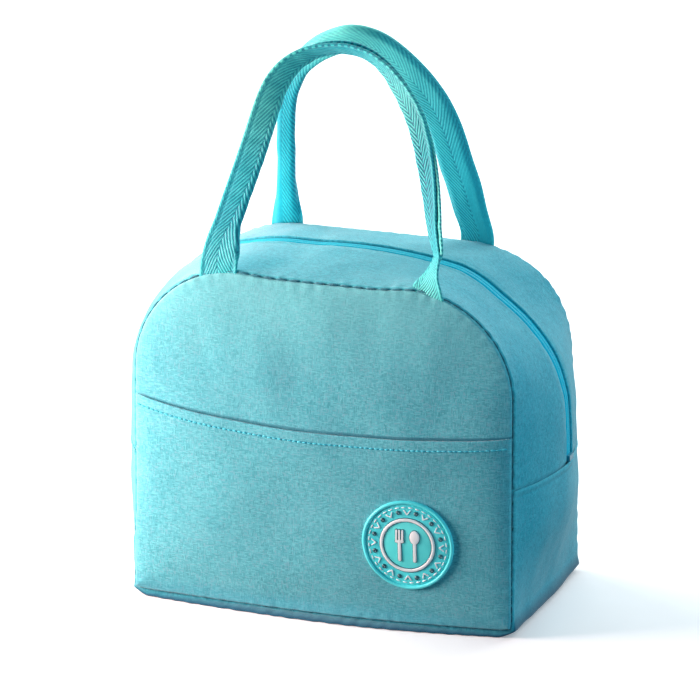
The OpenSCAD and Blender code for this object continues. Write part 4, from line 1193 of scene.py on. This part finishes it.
def cutlery(name, grow, h0, h1, mat, bevel):
    mp = lambda p: badge_map(p[0], p[1], p[2])
    P = []
    fx, sx = -4.3, 4.3                          # fork and spoon
    for k in (-1, 0, 1):
        P.append((capsule(fx + 1.75 * k, 2.6, fx + 1.75 * k, 8.4, 0.95, grow), h0, h1 + 0.002 * k, mp))
    P.append((capsule(fx - 1.7, 2.0, fx + 1.7, 2.0, 1.5, grow), h0, h1 - 0.003, mp))
    P.append((capsule(fx, -8.6, fx, 1.4, 1.7, grow), h0, h1 - 0.005, mp))
    P.append((ellipse(sx, 4.9, 2.75, 3.9, grow), h0, h1, mp))
    P.append((capsule(sx, -8.6, sx, 1.6, 1.7, grow), h0, h1 - 0.004, mp))
    return box_mesh(name, P, mat, bevel, 3)


cut = cutlery("badge_cutlery_white", 0.0, 1.45, 2.55, M["badge_light"], 0.28)
cuts = cutlery("badge_cutlery_shadowline", 0.42, 1.4, 1.82, M["badge_dark"], 0.06)
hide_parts("badge_cutlery")


def domes(name, items, mat):
    """Low round beads: (x, z, radius, base height, dome height)."""
    V, Q, T, base = [], [], [], 0
    n = 20
    a = np.arange(n) * 2 * PI / n
    for cx, cz, r, h0, hh in items:
        pr = [(1.0, 0.0), (1.0, 0.35), (0.93, 0.62), (0.75, 0.85), (0.45, 0.97)]
        m = len(pr)
        P = badge_map(cx + np.array([[p[0] * r for p in pr]]) * np.cos(a)[:, None], cz + np.array([[p[0] * r for p in pr]]) * np.sin(a)[:, None], h0 + np.array([[p[1] * hh for p in pr]]) + 0 * a[:, None])
        V.append(P.reshape(-1, 3))
        V.append(badge_map([cx, cx], [cz, cz], [h0 + hh, h0]))
        Q.append(base + grid_quads(n, m, True))
        i = np.arange(n)
        i2 = (i + 1) % n
        T.append(base + np.stack([i2 * m + m - 1, np.full(n, n * m), i * m + m - 1], -1)[:, ::-1])
        T.append(base + np.stack([i * m, np.full(n, n * m + 1), i2 * m], -1)[:, ::-1])
        base += n * m + 2
    V = np.concatenate(V)
    return build(name, V, np.concatenate(Q), np.concatenate(T), V[:, [0, 2]] * 0.01, {"edge": np.zeros(len(V))}, mat)


dots = []
for k in range(12):
    a = PI / 12 + 2 * PI * k / 12
    dots.append((19.3 * math.cos(a), 19.3 * math.sin(a), 1.35, 1.4, 1.0))
bd = domes("badge_beads_dark", dots, M["badge_dark"])
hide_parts("badge_dots")
paths = []
for k in range(36):
    a0 = 2 * PI * (k + 0.18) / 36
    a1 = 2 * PI * (k + 0.82) / 36
    aa = np.linspace(a0, a1, 6)
    paths.append((badge_map(22.0 * np.cos(aa), 22.0 * np.sin(aa), 1.52 + np.array([-0.12, 0.1, 0.15, 0.15, 0.1, -0.12])), (0, -1, 0)))
bst = tubes("badge_stitch_ring", paths, 0.36, 8, M["badge_light"])
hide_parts("badge_stitches")
# short white strokes between the beads, in pairs
leaf = []
for k in range(12):
    a = 2 * PI * k / 12
    for s in (-1, 1):
        b = a + s * 0.055
        leaf.append((capsule(18.0 * math.cos(a), 18.0 * math.sin(a), 20.4 * math.cos(b + s * 0.03), 20.4 * math.sin(b + s * 0.03), 0.62, 0.0, 6), 1.4, 2.15, lambda p: badge_map(p[0], p[1], p[2])))
bl = box_mesh("badge_vees_white", leaf, M["badge_light"], 0.14, 2)
for o in (bb, face, bring, bhalo, cut, cuts, bd, bst, bl):
    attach(o, "tub")
for o, s in ((bb, "badge"), (face, "badge"), (bring, "badge_light"), (bhalo, "badge_dark"), (cut, "badge_light"), (cuts, "badge_dark"), (bd, "badge_dark"), (bst, "badge_light"), (bl, "badge_light")):
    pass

# ------------------------------------------------------------------ zip
RIB = 1.4


def zip_tape(side):
    n = 1100
    t = np.linspace(-T_ZIP + 0.5, T_ZIP - 0.5, n)
    ys = np.array([0.12, 0.22, 0.5, 0.9, 1.35, 1.8, 2.25, 2.6, 2.85, 3.0, 3.25, 3.8, 4.6, 5.5, 6.5, 8.0, 10.0, 12.0, 12.8])
    top = []
    for y in ys:
        c = (y - 1.56) / 1.46
        h = math.sqrt(max(0.0, 1 - c * c)) if abs(c) < 1 else 0.0
        top.append(h)
    top = np.array(top)
    rib = 0.09 * np.abs(np.sin(PI * t / RIB))[:, None] * (top[None] > 0.3)
    line = np.exp(-((ys - 1.56) / 0.35) ** 2)[None] * 0.10
    d_top = 1.08 - 0.98 * top[None] - rib + line
    twill = 0.05 * np.sin(2 * PI * t[:, None] / 1.1 + ys[None] * 3.0) * (ys[None] > 3.0)
    d_top = d_top - twill
    d_bot = np.maximum(d_top + 0.48, 0.0)
    m = len(ys)
    x, z, nx, nz = outline(t)
    hd = half_depth(z)
    OUT, INN = np.zeros((n, m, 3)), np.zeros((n, m, 3))
    for j, y in enumerate(ys):
        v = side * y / hd
        OUT[:, j] = gusset_xyz(t, v, d_top[:, j])
        INN[:, j] = gusset_xyz(t, v, d_bot[:, j])
    uv = np.stack([np.repeat(t[:, None], m, 1), np.repeat(ys[None], n, 0)], -1) * 0.01 + 5
    uv = uv[..., ::-1]
    return slab("zip_tape_front" if side < 0 else "zip_tape_back", OUT, INN, uv, None, M["zip_tape"])


def zip_coil(side):
    """The nylon coil on the inner face of the tape, loop by loop."""
    pitch = 1.4
    paths = []
    k = 0
    t = -T_ZIP + 2.5
    while t < T_ZIP - 2.5:
        a = np.array([-0.75, 0.0, 0.30, 0.0, -0.75])
        ya = np.array([2.55, 1.1, 0.28, 1.1, 2.55])
        dz = np.array([1.25, 0.95, 1.45, 2.0, 1.85])
        tt = t + np.array([-0.25, -0.1, 0.0, 0.1, 0.25]) * pitch + (0.5 * pitch if side > 0 else 0.0)
        x, z, nx, nz = outline(tt)
        hd = half_depth(z)
        P = gusset_xyz(tt, side * ya / hd, dz)
        paths.append((P, np.stack([nx, 0 * nx, nz], -1)))
        t += pitch
        k += 1
    return tubes("zip_coil_front_loops" if side < 0 else "zip_coil_back_loops", paths, 0.30, 6, M["zip_coil"])


for side, fb in ((-1, "front"), (1, "back")):
    zt = zip_tape(side)
    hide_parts(f"zip_tape_{fb}_upper", "zip_tape_lower")
    mouth(zt)
    zc = zip_coil(side)
    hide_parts(f"zip_coil_{fb}_upper", "zip_coil_lower")
    mouth(zc)

# ------------------------------------------------------------------ seam thread, dark as painted shadow of the seam gap
def groove_point(t, side, off=0.0):
    """The bottom of the seam groove between a panel and the gusset."""
    x, z, nx, nz = outline(t)
    g = 1.70711 * ROLL - PR - off
    px, pz = x - nx * g * 1.0, z - nz * g
    y = -(HD - g) if side < 0 else back_y(z) - g
    P = np.stack([px, y + 0 * px, pz], -1)
    if side > 0:
        P[..., 2] -= 4.0 * lift(z)
    up = np.stack([nx, np.full_like(nx, side), nz], -1) / math.sqrt(2)
    return P, up


# dark dashes in the seam groove: partly stitches, partly painted shadow of the seam gap
def seam_thread_and_shade(name, side, t0, t1, pitch=7.4, gap=1.5, r=0.54, off=0.72):
    paths = []
    t = t0
    j = waves(21, 4, 9, 40, 1)
    while t < t1:
        a = np.linspace(t, t + pitch - gap, 8)
        P, up = groove_point(np.where(a > T5, a - 2 * T5, a), side, off)
        sag = np.array([-0.45, 0.0, 0.12, 0.16, 0.16, 0.12, 0.0, -0.45])
        keep = float((1 - sm((t - 56.0) / 30.0)) * sm((t + 150.0) / 40.0)) if side < 0 else 0.0      # bolder where the top seam is tight
        P = P + up * (sag + 0.08 * j(a) - 0.22 * (1 - keep) - (0.30 * float(sm((-t - 140.0) / 20.0)) if side < 0 else 0.0))[:, None]
        paths.append((P, up, r * (0.74 + 0.26 * keep)))
        t += pitch
    return tubes(name, paths, r, 8, M["thread_dark"])


for side, fb in ((-1, "front"), (1, "back")):
    th = seam_thread_and_shade(f"seam_thread_{fb}", side, -T_ZIP - 40.0, T_ZIP + 40.0)
    mouth(th)
    tl = seam_thread_and_shade(f"seam_thread_base_{fb}", side, T_ZIP + 41.0, 2 * T5 - T_ZIP - 41.0, 5.2, 1.1)
    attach(tl, "tub")

# ------------------------------------------------------------------ lining and binding
crinkle = waves(31, 9, 10, 34)
crinkle2 = waves(32, 8, 5, 11)


def lining(side):
    n = 380
    t = -T5 + 2 * T5 * np.arange(n) / n
    ein = [6.5, 6.9, 7.4]
    rho = list(1 - (np.arange(1, 30) / 29.6) ** 0.95)
    m = len(ein) + len(rho)
    X, Z = np.zeros((n, m)), np.zeros((n, m))
    for j, e in enumerate(ein):
        X[:, j], Z[:, j] = ring_inset(t, e)
    for i, r in enumerate(rho):
        X[:, 3 + i], Z[:, 3 + i] = X[:, 2] * r, 99.5 + (Z[:, 2] - 99.5) * r
    u, w = clamp(np.abs(panel_u(X, Z))), clamp(np.abs((Z - 99.5) / 95.5))
    cr = 7.4 * (1 - u ** 3.4) * (1 - w ** 3.4)
    wr = (0.45 * crinkle(X, Z) + 0.18 * crinkle2(X, Z)) * sm((1 - np.maximum(u, w)) / 0.12)
    D = cr - 5.6 - np.abs(wr) * 0.9
    OUT = np.stack([X, panel_y(D, Z, side), Z], -1)
    INN = np.stack([X, panel_y(D - 0.4, Z, side), Z], -1)
    if side > 0:
        OUT[..., 2] -= 4.0 * lift(Z)
        INN[..., 2] -= 4.0 * lift(Z)
    o = n * m
    V = np.concatenate([OUT.reshape(-1, 3), INN.reshape(-1, 3), OUT[:, -1].mean(0)[None], INN[:, -1].mean(0)[None]])
    i = np.arange(n)
    i2 = (i + 1) % n
    q4 = [grid_quads(n, m, True), grid_quads(n, m, True, o)[:, ::-1], np.stack([i * m, o + i * m, o + i2 * m, i2 * m], -1)]
    tr = np.concatenate([np.stack([i * m + m - 1, i2 * m + m - 1, np.full(n, 2 * o)], -1),
                         np.stack([o + i2 * m + m - 1, o + i * m + m - 1, np.full(n, 2 * o + 1)], -1)])
    return build("lining_front_film" if side < 0 else "lining_back_film", V, np.concatenate(q4), tr, V[:, [0, 2]] * 0.01, None, M["lining"])


def lining_strip(name, s, y_of, depth_of, taper=None):
    """A film along the gusset's inner side: y_of and depth_of are functions of the row."""
    t = np.where(s > T5, s - 2 * T5, s)
    x, z, nx, nz = outline(t)
    hd, my = half_depth(z), mid_y(z)
    OUT, INN = [], []
    for k in range(len(y_of)):
        y = y_of[k](hd) if callable(y_of[k]) else y_of[k] + 0 * hd
        v = (y - my) / hd
        wr = 0.30 * np.abs(crinkle(s, y)) + 0.12 * crinkle2(s, y)
        wr = wr * (0.0 if k in (0, len(y_of) - 1) else 1.0)
        OUT.append(gusset_xyz(t, v, depth_of[k] + wr))
        INN.append(gusset_xyz(t, v, depth_of[k] + wr + 0.4))
    OUT, INN = np.stack(OUT, 1), np.stack(INN, 1)
    return slab(name, OUT, INN, OUT[..., :2] * 0.01, None, M["lining"])


for side, fb in ((-1, "front"), (1, "back")):
    lf = lining(side)
    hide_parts(f"{fb}_lining_lower", f"{fb}_lining_upper")
    mouth(lf)
    s = np.linspace(-T_ZIP, T_ZIP, 300)
    rows, deep = [], []
    for k in range(26):
        f = k / 25.0
        rows.append(lambda hd, f=f, side=side: (back_y(outline(s)[1]) - hd if False else 0) + side * (7.2 + (hd - 6.8 - 7.2) * f) + mid_y(outline(s)[1]))
        a = 7.2 + (60 - 14) * f
        deep.append(1.85 + 3.7 * sm((a - 7.2) / 8.0))
    ls = lining_strip(f"lining_zip_{fb}_film", s, rows, deep)
    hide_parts(f"gusset_lining_{fb}_upper", "gusset_lining_lower")
    mouth(ls)
s = np.linspace(T_ZIP - 1.0, 2 * T5 - T_ZIP + 1.0, 300)
rows = [(-53.0 + 106.0 * k / 45.0) for k in range(46)]
lb = lining_strip("lining_base_film", s, rows, [5.6] * 46)
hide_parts("side_base_lining")
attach(lb, "tub")


def binding(side):
    """A folded tape over the seam allowance, standing inward along the seam."""
    n = 420
    t = -T5 + 2 * T5 * np.arange(n) / n
    prof = [(6.6, 6.4), (7.6, 7.1), (9.2, 8.1), (10.8, 8.9), (11.6, 9.1), (12.0, 9.6), (11.8, 10.2), (10.9, 10.5), (9.6, 10.1), (8.2, 9.3), (6.9, 8.2), (6.2, 7.2)]
    n2 = len(prof)
    P = []
    rip = 0.12 * np.sin(2 * PI * t / 3.4)
    for e, q in prof:
        x, z = ring_inset(t, e + 0.0 * t)
        d = -(q + rip)
        y = panel_y(d, z, side)
        zz = z - (4.0 * lift(z) if side > 0 else 0.0)
        P.append(np.stack([x, y, zz], -1))
    P = np.stack(P, 1)
    i = np.arange(n)[:, None]
    j = np.arange(n2)[None]
    i2, j2 = (i + 1) % n, (j + 1) % n2
    q4 = np.stack([i * n2 + j, i2 * n2 + j, i2 * n2 + j2, i * n2 + j2], -1).reshape(-1, 4)
    V = P.reshape(-1, 3)
    uv = np.stack([np.repeat(t[:, None], n2, 1), np.repeat(np.arange(n2)[None] * 1.2, n, 0)], -1).reshape(-1, 2)[:, ::-1] * 0.01
    return build("seam_binding_front_tape" if side < 0 else "seam_binding_back_tape", V, q4, None, uv, None, M["binding"])


for side, fb in ((-1, "front"), (1, "back")):
    bn = binding(side)
    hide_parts(f"seam_binding_{fb}_upper", "seam_binding_lower")
    mouth(bn)

# ------------------------------------------------------------------ handles
WEB_W, WEB_T = 23.5, 1.3


def spline(P, n):
    """A smooth curve through points, resampled evenly by length."""
    P = np.asarray(P, float)
    u = np.concatenate([[0], np.cumsum(np.linalg.norm(np.diff(P, axis=0), axis=1))])
    k = len(u)
    h = np.diff(u)
    A = np.zeros((k, k))
    B = np.zeros((k, P.shape[1]))
    A[0, 0] = A[-1, -1] = 1
    for i in range(1, k - 1):
        A[i, i - 1], A[i, i], A[i, i + 1] = h[i - 1], 2 * (h[i - 1] + h[i]), h[i]
        B[i] = 6 * ((P[i + 1] - P[i]) / h[i] - (P[i] - P[i - 1]) / h[i - 1])
    S = np.linalg.solve(A, B)

    def at(q):
        i = np.clip(np.searchsorted(u, q) - 1, 0, k - 2)
        a, b, hh = (u[i + 1] - q)[:, None], (q - u[i])[:, None], h[i][:, None]
        return S[i] * a ** 3 / (6 * hh) + S[i + 1] * b ** 3 / (6 * hh) + (P[i] / hh - S[i] * hh / 6) * a + (P[i + 1] / hh - S[i + 1] * hh / 6) * b
    d = at(np.linspace(0, u[-1], 4000))
    L = np.concatenate([[0], np.cumsum(np.linalg.norm(np.diff(d, axis=0), axis=1))])
    q = np.interp(np.linspace(0, L[-1], n), L, np.linspace(0, u[-1], 4000))
    C = at(q)
    T = at(np.minimum(q + 0.2, u[-1])) - at(np.maximum(q - 0.2, 0))
    T /= np.linalg.norm(T, axis=1)[:, None]
    return C, T, np.linspace(0, L[-1], n)


def keyed(sig, keys):
    k = np.array(keys, float)
    v = np.interp(sig, k[:, 0], k[:, 1])
    ker = np.exp(-0.5 * (np.arange(-18, 19) / 8.0) ** 2)
    ker /= ker.sum()
    return np.convolve(np.pad(v, 18, mode="edge"), ker, mode="valid")


FRONT_LOOP = [(-60.5, 0), (-59.6, 12), (-56, 30), (-50.4, 52), (-45.0, 75), (-41.6, 90.5), (-37.8, 102.6), (-31.2, 113), (-21.2, 120.6), (-10.4, 124.2), (0, 125.3), (10.5, 123.6), (21, 118.3), (30, 110), (38.5, 99), (45.5, 87), (51.5, 72), (57.4, 50), (60.2, 36), (62.6, 26), (64.6, 18), (62.8, 9), (60.3, 0)]
BACK_LOOP = [(-58, 0), (-57, 12), (-55, 26), (-52.6, 45), (-50.2, 64), (-46.6, 84), (-41.6, 99), (-34, 112), (-24.5, 122), (-13, 129.3), (0, 132.5), (12, 129.6), (21.5, 122.2), (30.5, 111.6), (38.4, 98.5), (43.5, 84), (46.5, 66), (47.9, 50), (50.0, 33), (52.0, 15), (54.2, 0)]


def ramp_soft(h, top, r=2.2):
    """0 below 0, 1 above top and nearly straight between."""
    f = lambda q: 0.5 * (q + np.sqrt(q * q + r * r))
    return clamp((f(h) - f(h - top)) / top)


def strap(name, loop, axis, tilt, side, fold, mat, foot_y, foot_len, foot_w, least):
    n = 620
    ns = 56
    loop = [(loop[0][0] - 0.3, -5.0)] + loop + [(loop[-1][0] - 0.3, -5.0)]
    C, T, L = spline(loop, n)
    sig = L / L[-1]
    out2 = np.stack([-T[:, 1], T[:, 0]], -1)
    s = np.linspace(-WEB_W / 2, WEB_W / 2, ns)
    a, b, apex, ribs, painted_light, dashed, r = fold(sig, s, C[:, 1])   # section: along the out direction and along w
    h = C[:, 1]
    left = sig < 0.5
    fw = np.where(left, foot_w[0], foot_w[1]) / WEB_W
    if least is None:                             # the fold itself opens out towards the foot
        a = a * (fw + (1 - fw) * r)[:, None]
        flat = (1 - r)[:, None]
    else:
        g = least + (1 - least) * ramp_soft(h, np.where(left, foot_len[0], foot_len[1]))
        fa, fb = -s[None] * fw[:, None], 0.0 * s[None] + 0 * h[:, None]
        a = fa * (1 - g[:, None]) + a * g[:, None]
        b = fb * (1 - g[:, None]) + b * g[:, None]
        flat = (1 - g)[:, None]
    # near the feet the web is square to the seam, not to the leaning leg
    ox = out2[:, [0]] * (1 - flat) + np.sign(out2[:, [0]]) * flat
    oz = out2[:, [1]] * (1 - flat) ** 2
    X = C[:, [0]] + ox * a
    H = C[:, [1]] + oz * a
    ct, st = math.cos(tilt), math.sin(tilt)
    Y = axis[0] - side * H * st + b * ct
    Z = axis[1] + H * ct + side * b * st
    low = clamp((7.0 - H) / 12.0)
    Y = Y + foot_y * low ** 2
    Z = Z - (AR - np.sqrt(AR ** 2 - clamp(np.abs(X) - XA, 0, 40.0) ** 2)) * clamp(1 - H / 16.0)
    MID = np.stack([X, Y, Z], -1)
    dL = np.gradient(MID, axis=0)
    dS = np.gradient(MID, axis=1)
    N = np.cross(dL, dS)
    N /= np.linalg.norm(N, axis=-1)[..., None] + 1e-12
    SS = np.repeat(s[None], n, 0)
    LL = np.repeat(L[:, None], ns, 1)
    ended = clamp((WEB_W / 2 - np.abs(SS)) / 0.9)
    half = (WEB_T / 2) * np.sqrt(clamp(1 - (1 - ended) ** 2) * 0.97 + 0.03)
    near = np.exp(-((WEB_W / 2 - 0.95 - np.abs(SS)) / 0.75) ** 2)
    bead = 0.22 * near * (0.8 + 0.35 * dashed * np.cos(2 * PI * LL / 3.7))
    valley = -0.18 * np.exp(-((WEB_W / 2 - 3.3 - np.abs(SS)) / 0.5) ** 2) - 0.10 * np.exp(-((SS - apex) / 0.5) ** 2)
    lumpy = 0.10 * waves(61 + side, 6, 8, 26)(LL, SS * 1.5) * ended
    OUT = MID + N * (half + bead + valley + lumpy)[..., None]
    INN = MID - N * (half + bead + valley - lumpy)[..., None]
    wave = np.cos(2 * PI * LL / 3.7)
    # selvedge value: positive paints the bead pale (painted highlight), negative paints dark dashes (painted shadow of
    # the stitches)
    sel = near * np.where(wave < -0.15, 0.55 - 1.45 * dashed, 0.55 + 0.3 * dashed)
    uv = np.stack([LL + 300, SS + 300], -1) * 0.01
    at = {"apex": SS - apex, "ribs": ribs + 0 * SS, "selvedge": sel, "painted_light": painted_light + 0 * SS}
    return slab(name, OUT, INN, uv, at, mat)


def u_fold(sig, s, h):
    psi = np.radians(keyed(sig, [(0, 0), (0.10, 0), (0.235, 6), (0.33, 26), (0.40, 52), (0.46, 67), (0.52, 68), (0.57, 58), (0.62, 36), (0.68, 16), (0.76, 16), (0.82, 28), (0.87, 40), (0.91, 54), (0.94, 60), (0.965, 46), (1, 0)]))
    s0 = keyed(sig, [(0, 3.8), (0.3, 3.6), (0.45, 2.2), (0.55, 1.4), (0.66, 0.2), (0.76, -0.7), (0.84, -1.1), (0.9, -1.6), (1, -2.0)])
    flare = np.radians(keyed(sig, [(0, 4), (0.3, 5), (0.45, 7), (0.6, 3), (0.72, 0), (0.85, 0), (0.93, 0), (1, 0)]))
    rho = keyed(sig, [(0, 1.5), (0.5, 1.4), (0.62, 0.95), (0.7, 0.70), (1, 0.70)])[:, None]
    left = sig < 0.5
    r = ramp_soft(h, np.where(left, 23.0, 19.0), 1.6)
    q = rho * PI / 2
    s0 = s0 + (WEB_W / 2 + q[:, 0] + 0.1 - s0) * (1 - r)
    psi = psi * np.where(left, r, 1.0)
    P = np.zeros((len(sig), len(s), 2))            # along o and along f
    d = s[None] - s0[:, None]
    al = -d / rho
    arc = np.abs(d) <= q
    P[..., 0] = np.where(arc, -rho * np.cos(al), 0)
    P[..., 1] = np.where(arc, rho * np.sin(al), 0)
    front = d < -q
    P[..., 0] = np.where(front, -d - q, P[..., 0])
    P[..., 1] = np.where(front, rho - 0.12 * (1 - np.exp(-(-d - q) / 4.0)), P[..., 1])
    back = d > q
    fl = flare[:, None]
    P[..., 0] = np.where(back, (d - q) * np.cos(fl), P[..., 0])
    P[..., 1] = np.where(back, -rho - (d - q) * np.sin(fl), P[..., 1])
    P[..., 0] -= (P[..., 0].max(1) + P[..., 0].min(1))[:, None] / 2
    P[..., 1] += (P[..., 1] * 0 + (-rho) * (1 - r[:, None]))
    c, sn = np.cos(psi)[:, None], np.sin(psi)[:, None]
    # o = out cos psi - w sin psi ; f = -w cos psi - out sin psi
    a = P[..., 0] * c - P[..., 1] * sn
    b = -P[..., 0] * sn - P[..., 1] * c
    apex = keyed(sig, [(0, 0), (0.03, -1.0), (0.06, -2.6), (0.09, -2.0), (0.14, -0.4), (0.2, 0.4), (0.35, 0.2), (0.5, -2.0), (0.66, -4.2), (0.9, -6.5), (0.96, 4.0), (1, 7)])[:, None]
    ribs = keyed(sig, [(0, 0.9), (0.3, 0.8), (0.45, 0.7), (0.6, 1.1), (0.7, 1.45), (1, 1.5)])[:, None] * (1 - 0.35 * sm((-s[None] - 5.0) / 3.0))
    # painted light: stretches of the web made paler where it falls in shade, and the back layer's strip on the right
    # leg lifted
    painted_light = keyed(sig, [(0, 0.22), (0.05, 0.20), (0.12, 0.06), (0.2, 0.15), (0.29, 0.90), (0.38, 0.90), (0.45, 0.2), (0.52, 0.12), (0.6, 0.55), (0.68, 0.50), (0.75, 0.12), (0.92, 0.10), (0.97, 0.5), (1, 0.7)])[:, None] * np.where(s[None] < s0[:, None], 1.0, 0.55)
    painted_light = clamp(painted_light + (s[None] >= s0[:, None]) * (0.75 * sm((sig - 0.58) / 0.08) * (1 - sm((sig - 0.93) / 0.04)))[:, None])
    dashed = keyed(sig, [(0, 0.15), (0.3, 0.25), (0.4, 0.9), (0.48, 1.0), (0.6, 0.8), (0.68, 0.1), (1, 0.0)])[:, None]
    return a, b, apex, ribs, painted_light, dashed, r


def c_fold(sig, s, h):
    th_m = np.radians(keyed(sig, [(0, 112), (0.08, 120), (0.3, 126), (0.45, 105), (0.6, 88), (0.75, 70), (0.92, 62), (1, 62)]))
    flat = keyed(sig, [(0, 1.8), (0.1, 1.6), (0.3, 1.6), (0.42, 3.2), (0.5, 4.6), (0.65, 5.0), (0.8, 5.2), (1, 5.2)])
    fine = np.linspace(-WEB_W / 2, WEB_W / 2, 241)
    ang = np.sign(fine)[None] * sm((np.abs(fine)[None] - flat[:, None]) / (6.4 + 0.0 * flat[:, None]))
    th = ang * th_m[:, None]
    ds = fine[1] - fine[0]
    A = np.cumsum(np.cos(th), 1) * ds
    B = np.cumsum(np.sin(th), 1) * ds
    A -= A[:, [120]]
    B -= B[:, [120]]
    a = np.stack([np.interp(s, fine, r) for r in A])
    b = np.stack([np.interp(s, fine, np.abs(r)) for r in B])
    b = b - b.mean(1)[:, None]
    apex = keyed(sig, [(0, -2.2), (0.3, -1.6), (0.5, 0.4), (0.7, 0.4), (0.85, -1.0), (1, -1.6)])[:, None]
    smooth_out = keyed(sig, [(0, 1), (0.22, 1), (0.36, 0.3), (0.6, 0.1), (0.78, 0.3), (0.88, 1), (1, 1)])[:, None]
    ribs = keyed(sig, [(0, 0.75), (0.25, 0.8), (0.4, 0.45), (0.48, 0.3), (0.56, 0.65), (0.7, 0.85), (1, 0.85)])[:, None]
    ribs = ribs * (1 - smooth_out * sm((-1.2 - s[None]) / 1.2))
    # painted light: the back handle made paler towards its crown, a painted highlight
    painted_light = keyed(sig, [(0, 0.05), (0.3, 0.1), (0.40, 0.7), (0.48, 1.0), (0.54, 0.62), (0.61, 0.45), (0.70, 0.25), (0.8, 0.15), (1, 0.15)])[:, None]
    dashed = keyed(sig, [(0, 0.2), (1, 0.2)])[:, None]
    inward = keyed(sig, [(0, 0), (0.36, 0.0), (0.45, 1.8), (0.54, 3.2), (0.66, 3.6), (0.76, 2.4), (0.86, 0.6), (1, 0)])[:, None]
    return -a - inward, b, apex, ribs, painted_light, dashed, None


hf = strap("handle_front_web", FRONT_LOOP, (-60.5, 198.0), math.atan2(41.5, 125), -1, u_fold, M["webbing"], 2.6, (22.0, 18.0), (21.8, 19.6), None)
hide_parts("handle_front", "handle_front_tabs")
hb = strap("handle_back_web", BACK_LOOP, (47.5, 194.0), math.atan2(52.5, 133), 1, c_fold, M["webbing_back"], -2.4, (30.0, 34.0), (23.4, 18.8), 0.28)
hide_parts("handle_back", "handle_back_tabs")
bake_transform(hf)
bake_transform(hb)

# ------------------------------------------------------------------ metal and end stops keep their CAD shapes
for nm in ("zip_slider", "zip_pull"):
    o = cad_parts[nm]
    for sl in o.material_slots:
        sl.material = M["metal"]
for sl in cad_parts["zip_end_stops"].material_slots:
    sl.material = M["stop"]

# ------------------------------------------------------------------ floor and light
def area(name, loc, aim, size, power, color=(1, 1, 1)):
    d = bpy.data.lights.new(name, "AREA")
    d.shape = "RECTANGLE"
    d.size, d.size_y = size
    d.energy = power
    d.color = color
    o = bpy.data.objects.new(name, d)
    scene.collection.objects.link(o)
    o.location = loc
    o.rotation_mode = "QUATERNION"
    o.rotation_quaternion = (Vector(aim) - Vector(loc)).to_track_quat("-Z", "Y")
    return o


area("key", (-0.46, -0.27, 0.175), (0.0, -0.02, 0.10), (0.26, 0.26), 7.1, (1.0, 0.775, 0.735))
area("top", (-0.88, 0.28, 0.82), (0.0, 0.0, 0.18), (0.8, 0.8), 13.5, (0.86, 1.0, 0.99))
area("fill", (1.12, -0.16, 0.50), (0.08, 0.0, 0.12), (0.7, 0.7), 5.2, (0.34, 0.80, 1.0))
area("cool", (0.95, -0.80, 0.35), (0.05, 0.0, 0.10), (0.6, 0.6), 1.9, (0.12, 0.62, 1.0))
area("back_fill", (0.35, 1.5, 0.65), (0.0, 0.06, 0.12), (1.0, 1.0), 9.0, (0.92, 0.98, 1.0))
area("floor_glow", (0.0, 3.2, 3.0), (0.0, 4.2, 0.0), (5.0, 3.0), 260.0)
w = bpy.data.worlds.new("studio")
scene.world = w
w.use_nodes = True
w.node_tree.nodes["Background"].inputs[0].default_value = (0.80, 0.94, 1.0, 1)
w.node_tree.nodes["Background"].inputs[1].default_value = 0.10
scene.view_settings.view_transform = "Standard"

F = Nodes("floor_matte")
fn = F.noise(F.place(1.0), 90.0, 4.0)
floor_mat = F.done(F.ramp(fn, [(0.3, (0.90, 0.90, 0.90)), (0.7, (0.93, 0.93, 0.93))]), 0.9, None, Specular_IOR_Level=0.1, Emission_Color=(1.0, 0.84, 0.80, 1.0), Emission_Strength=0.24)
bm = bmesh.new()
bmesh.ops.create_circle(bm, cap_ends=True, segments=96, radius=9.0)
me = bpy.data.meshes.new("floor")
bm.to_mesh(me)
bm.free()
fl = bpy.data.objects.new("floor", me)
scene.collection.objects.link(fl)
fl.location.z = -0.0002
me.materials.append(floor_mat)
fl.visible_diffuse = False
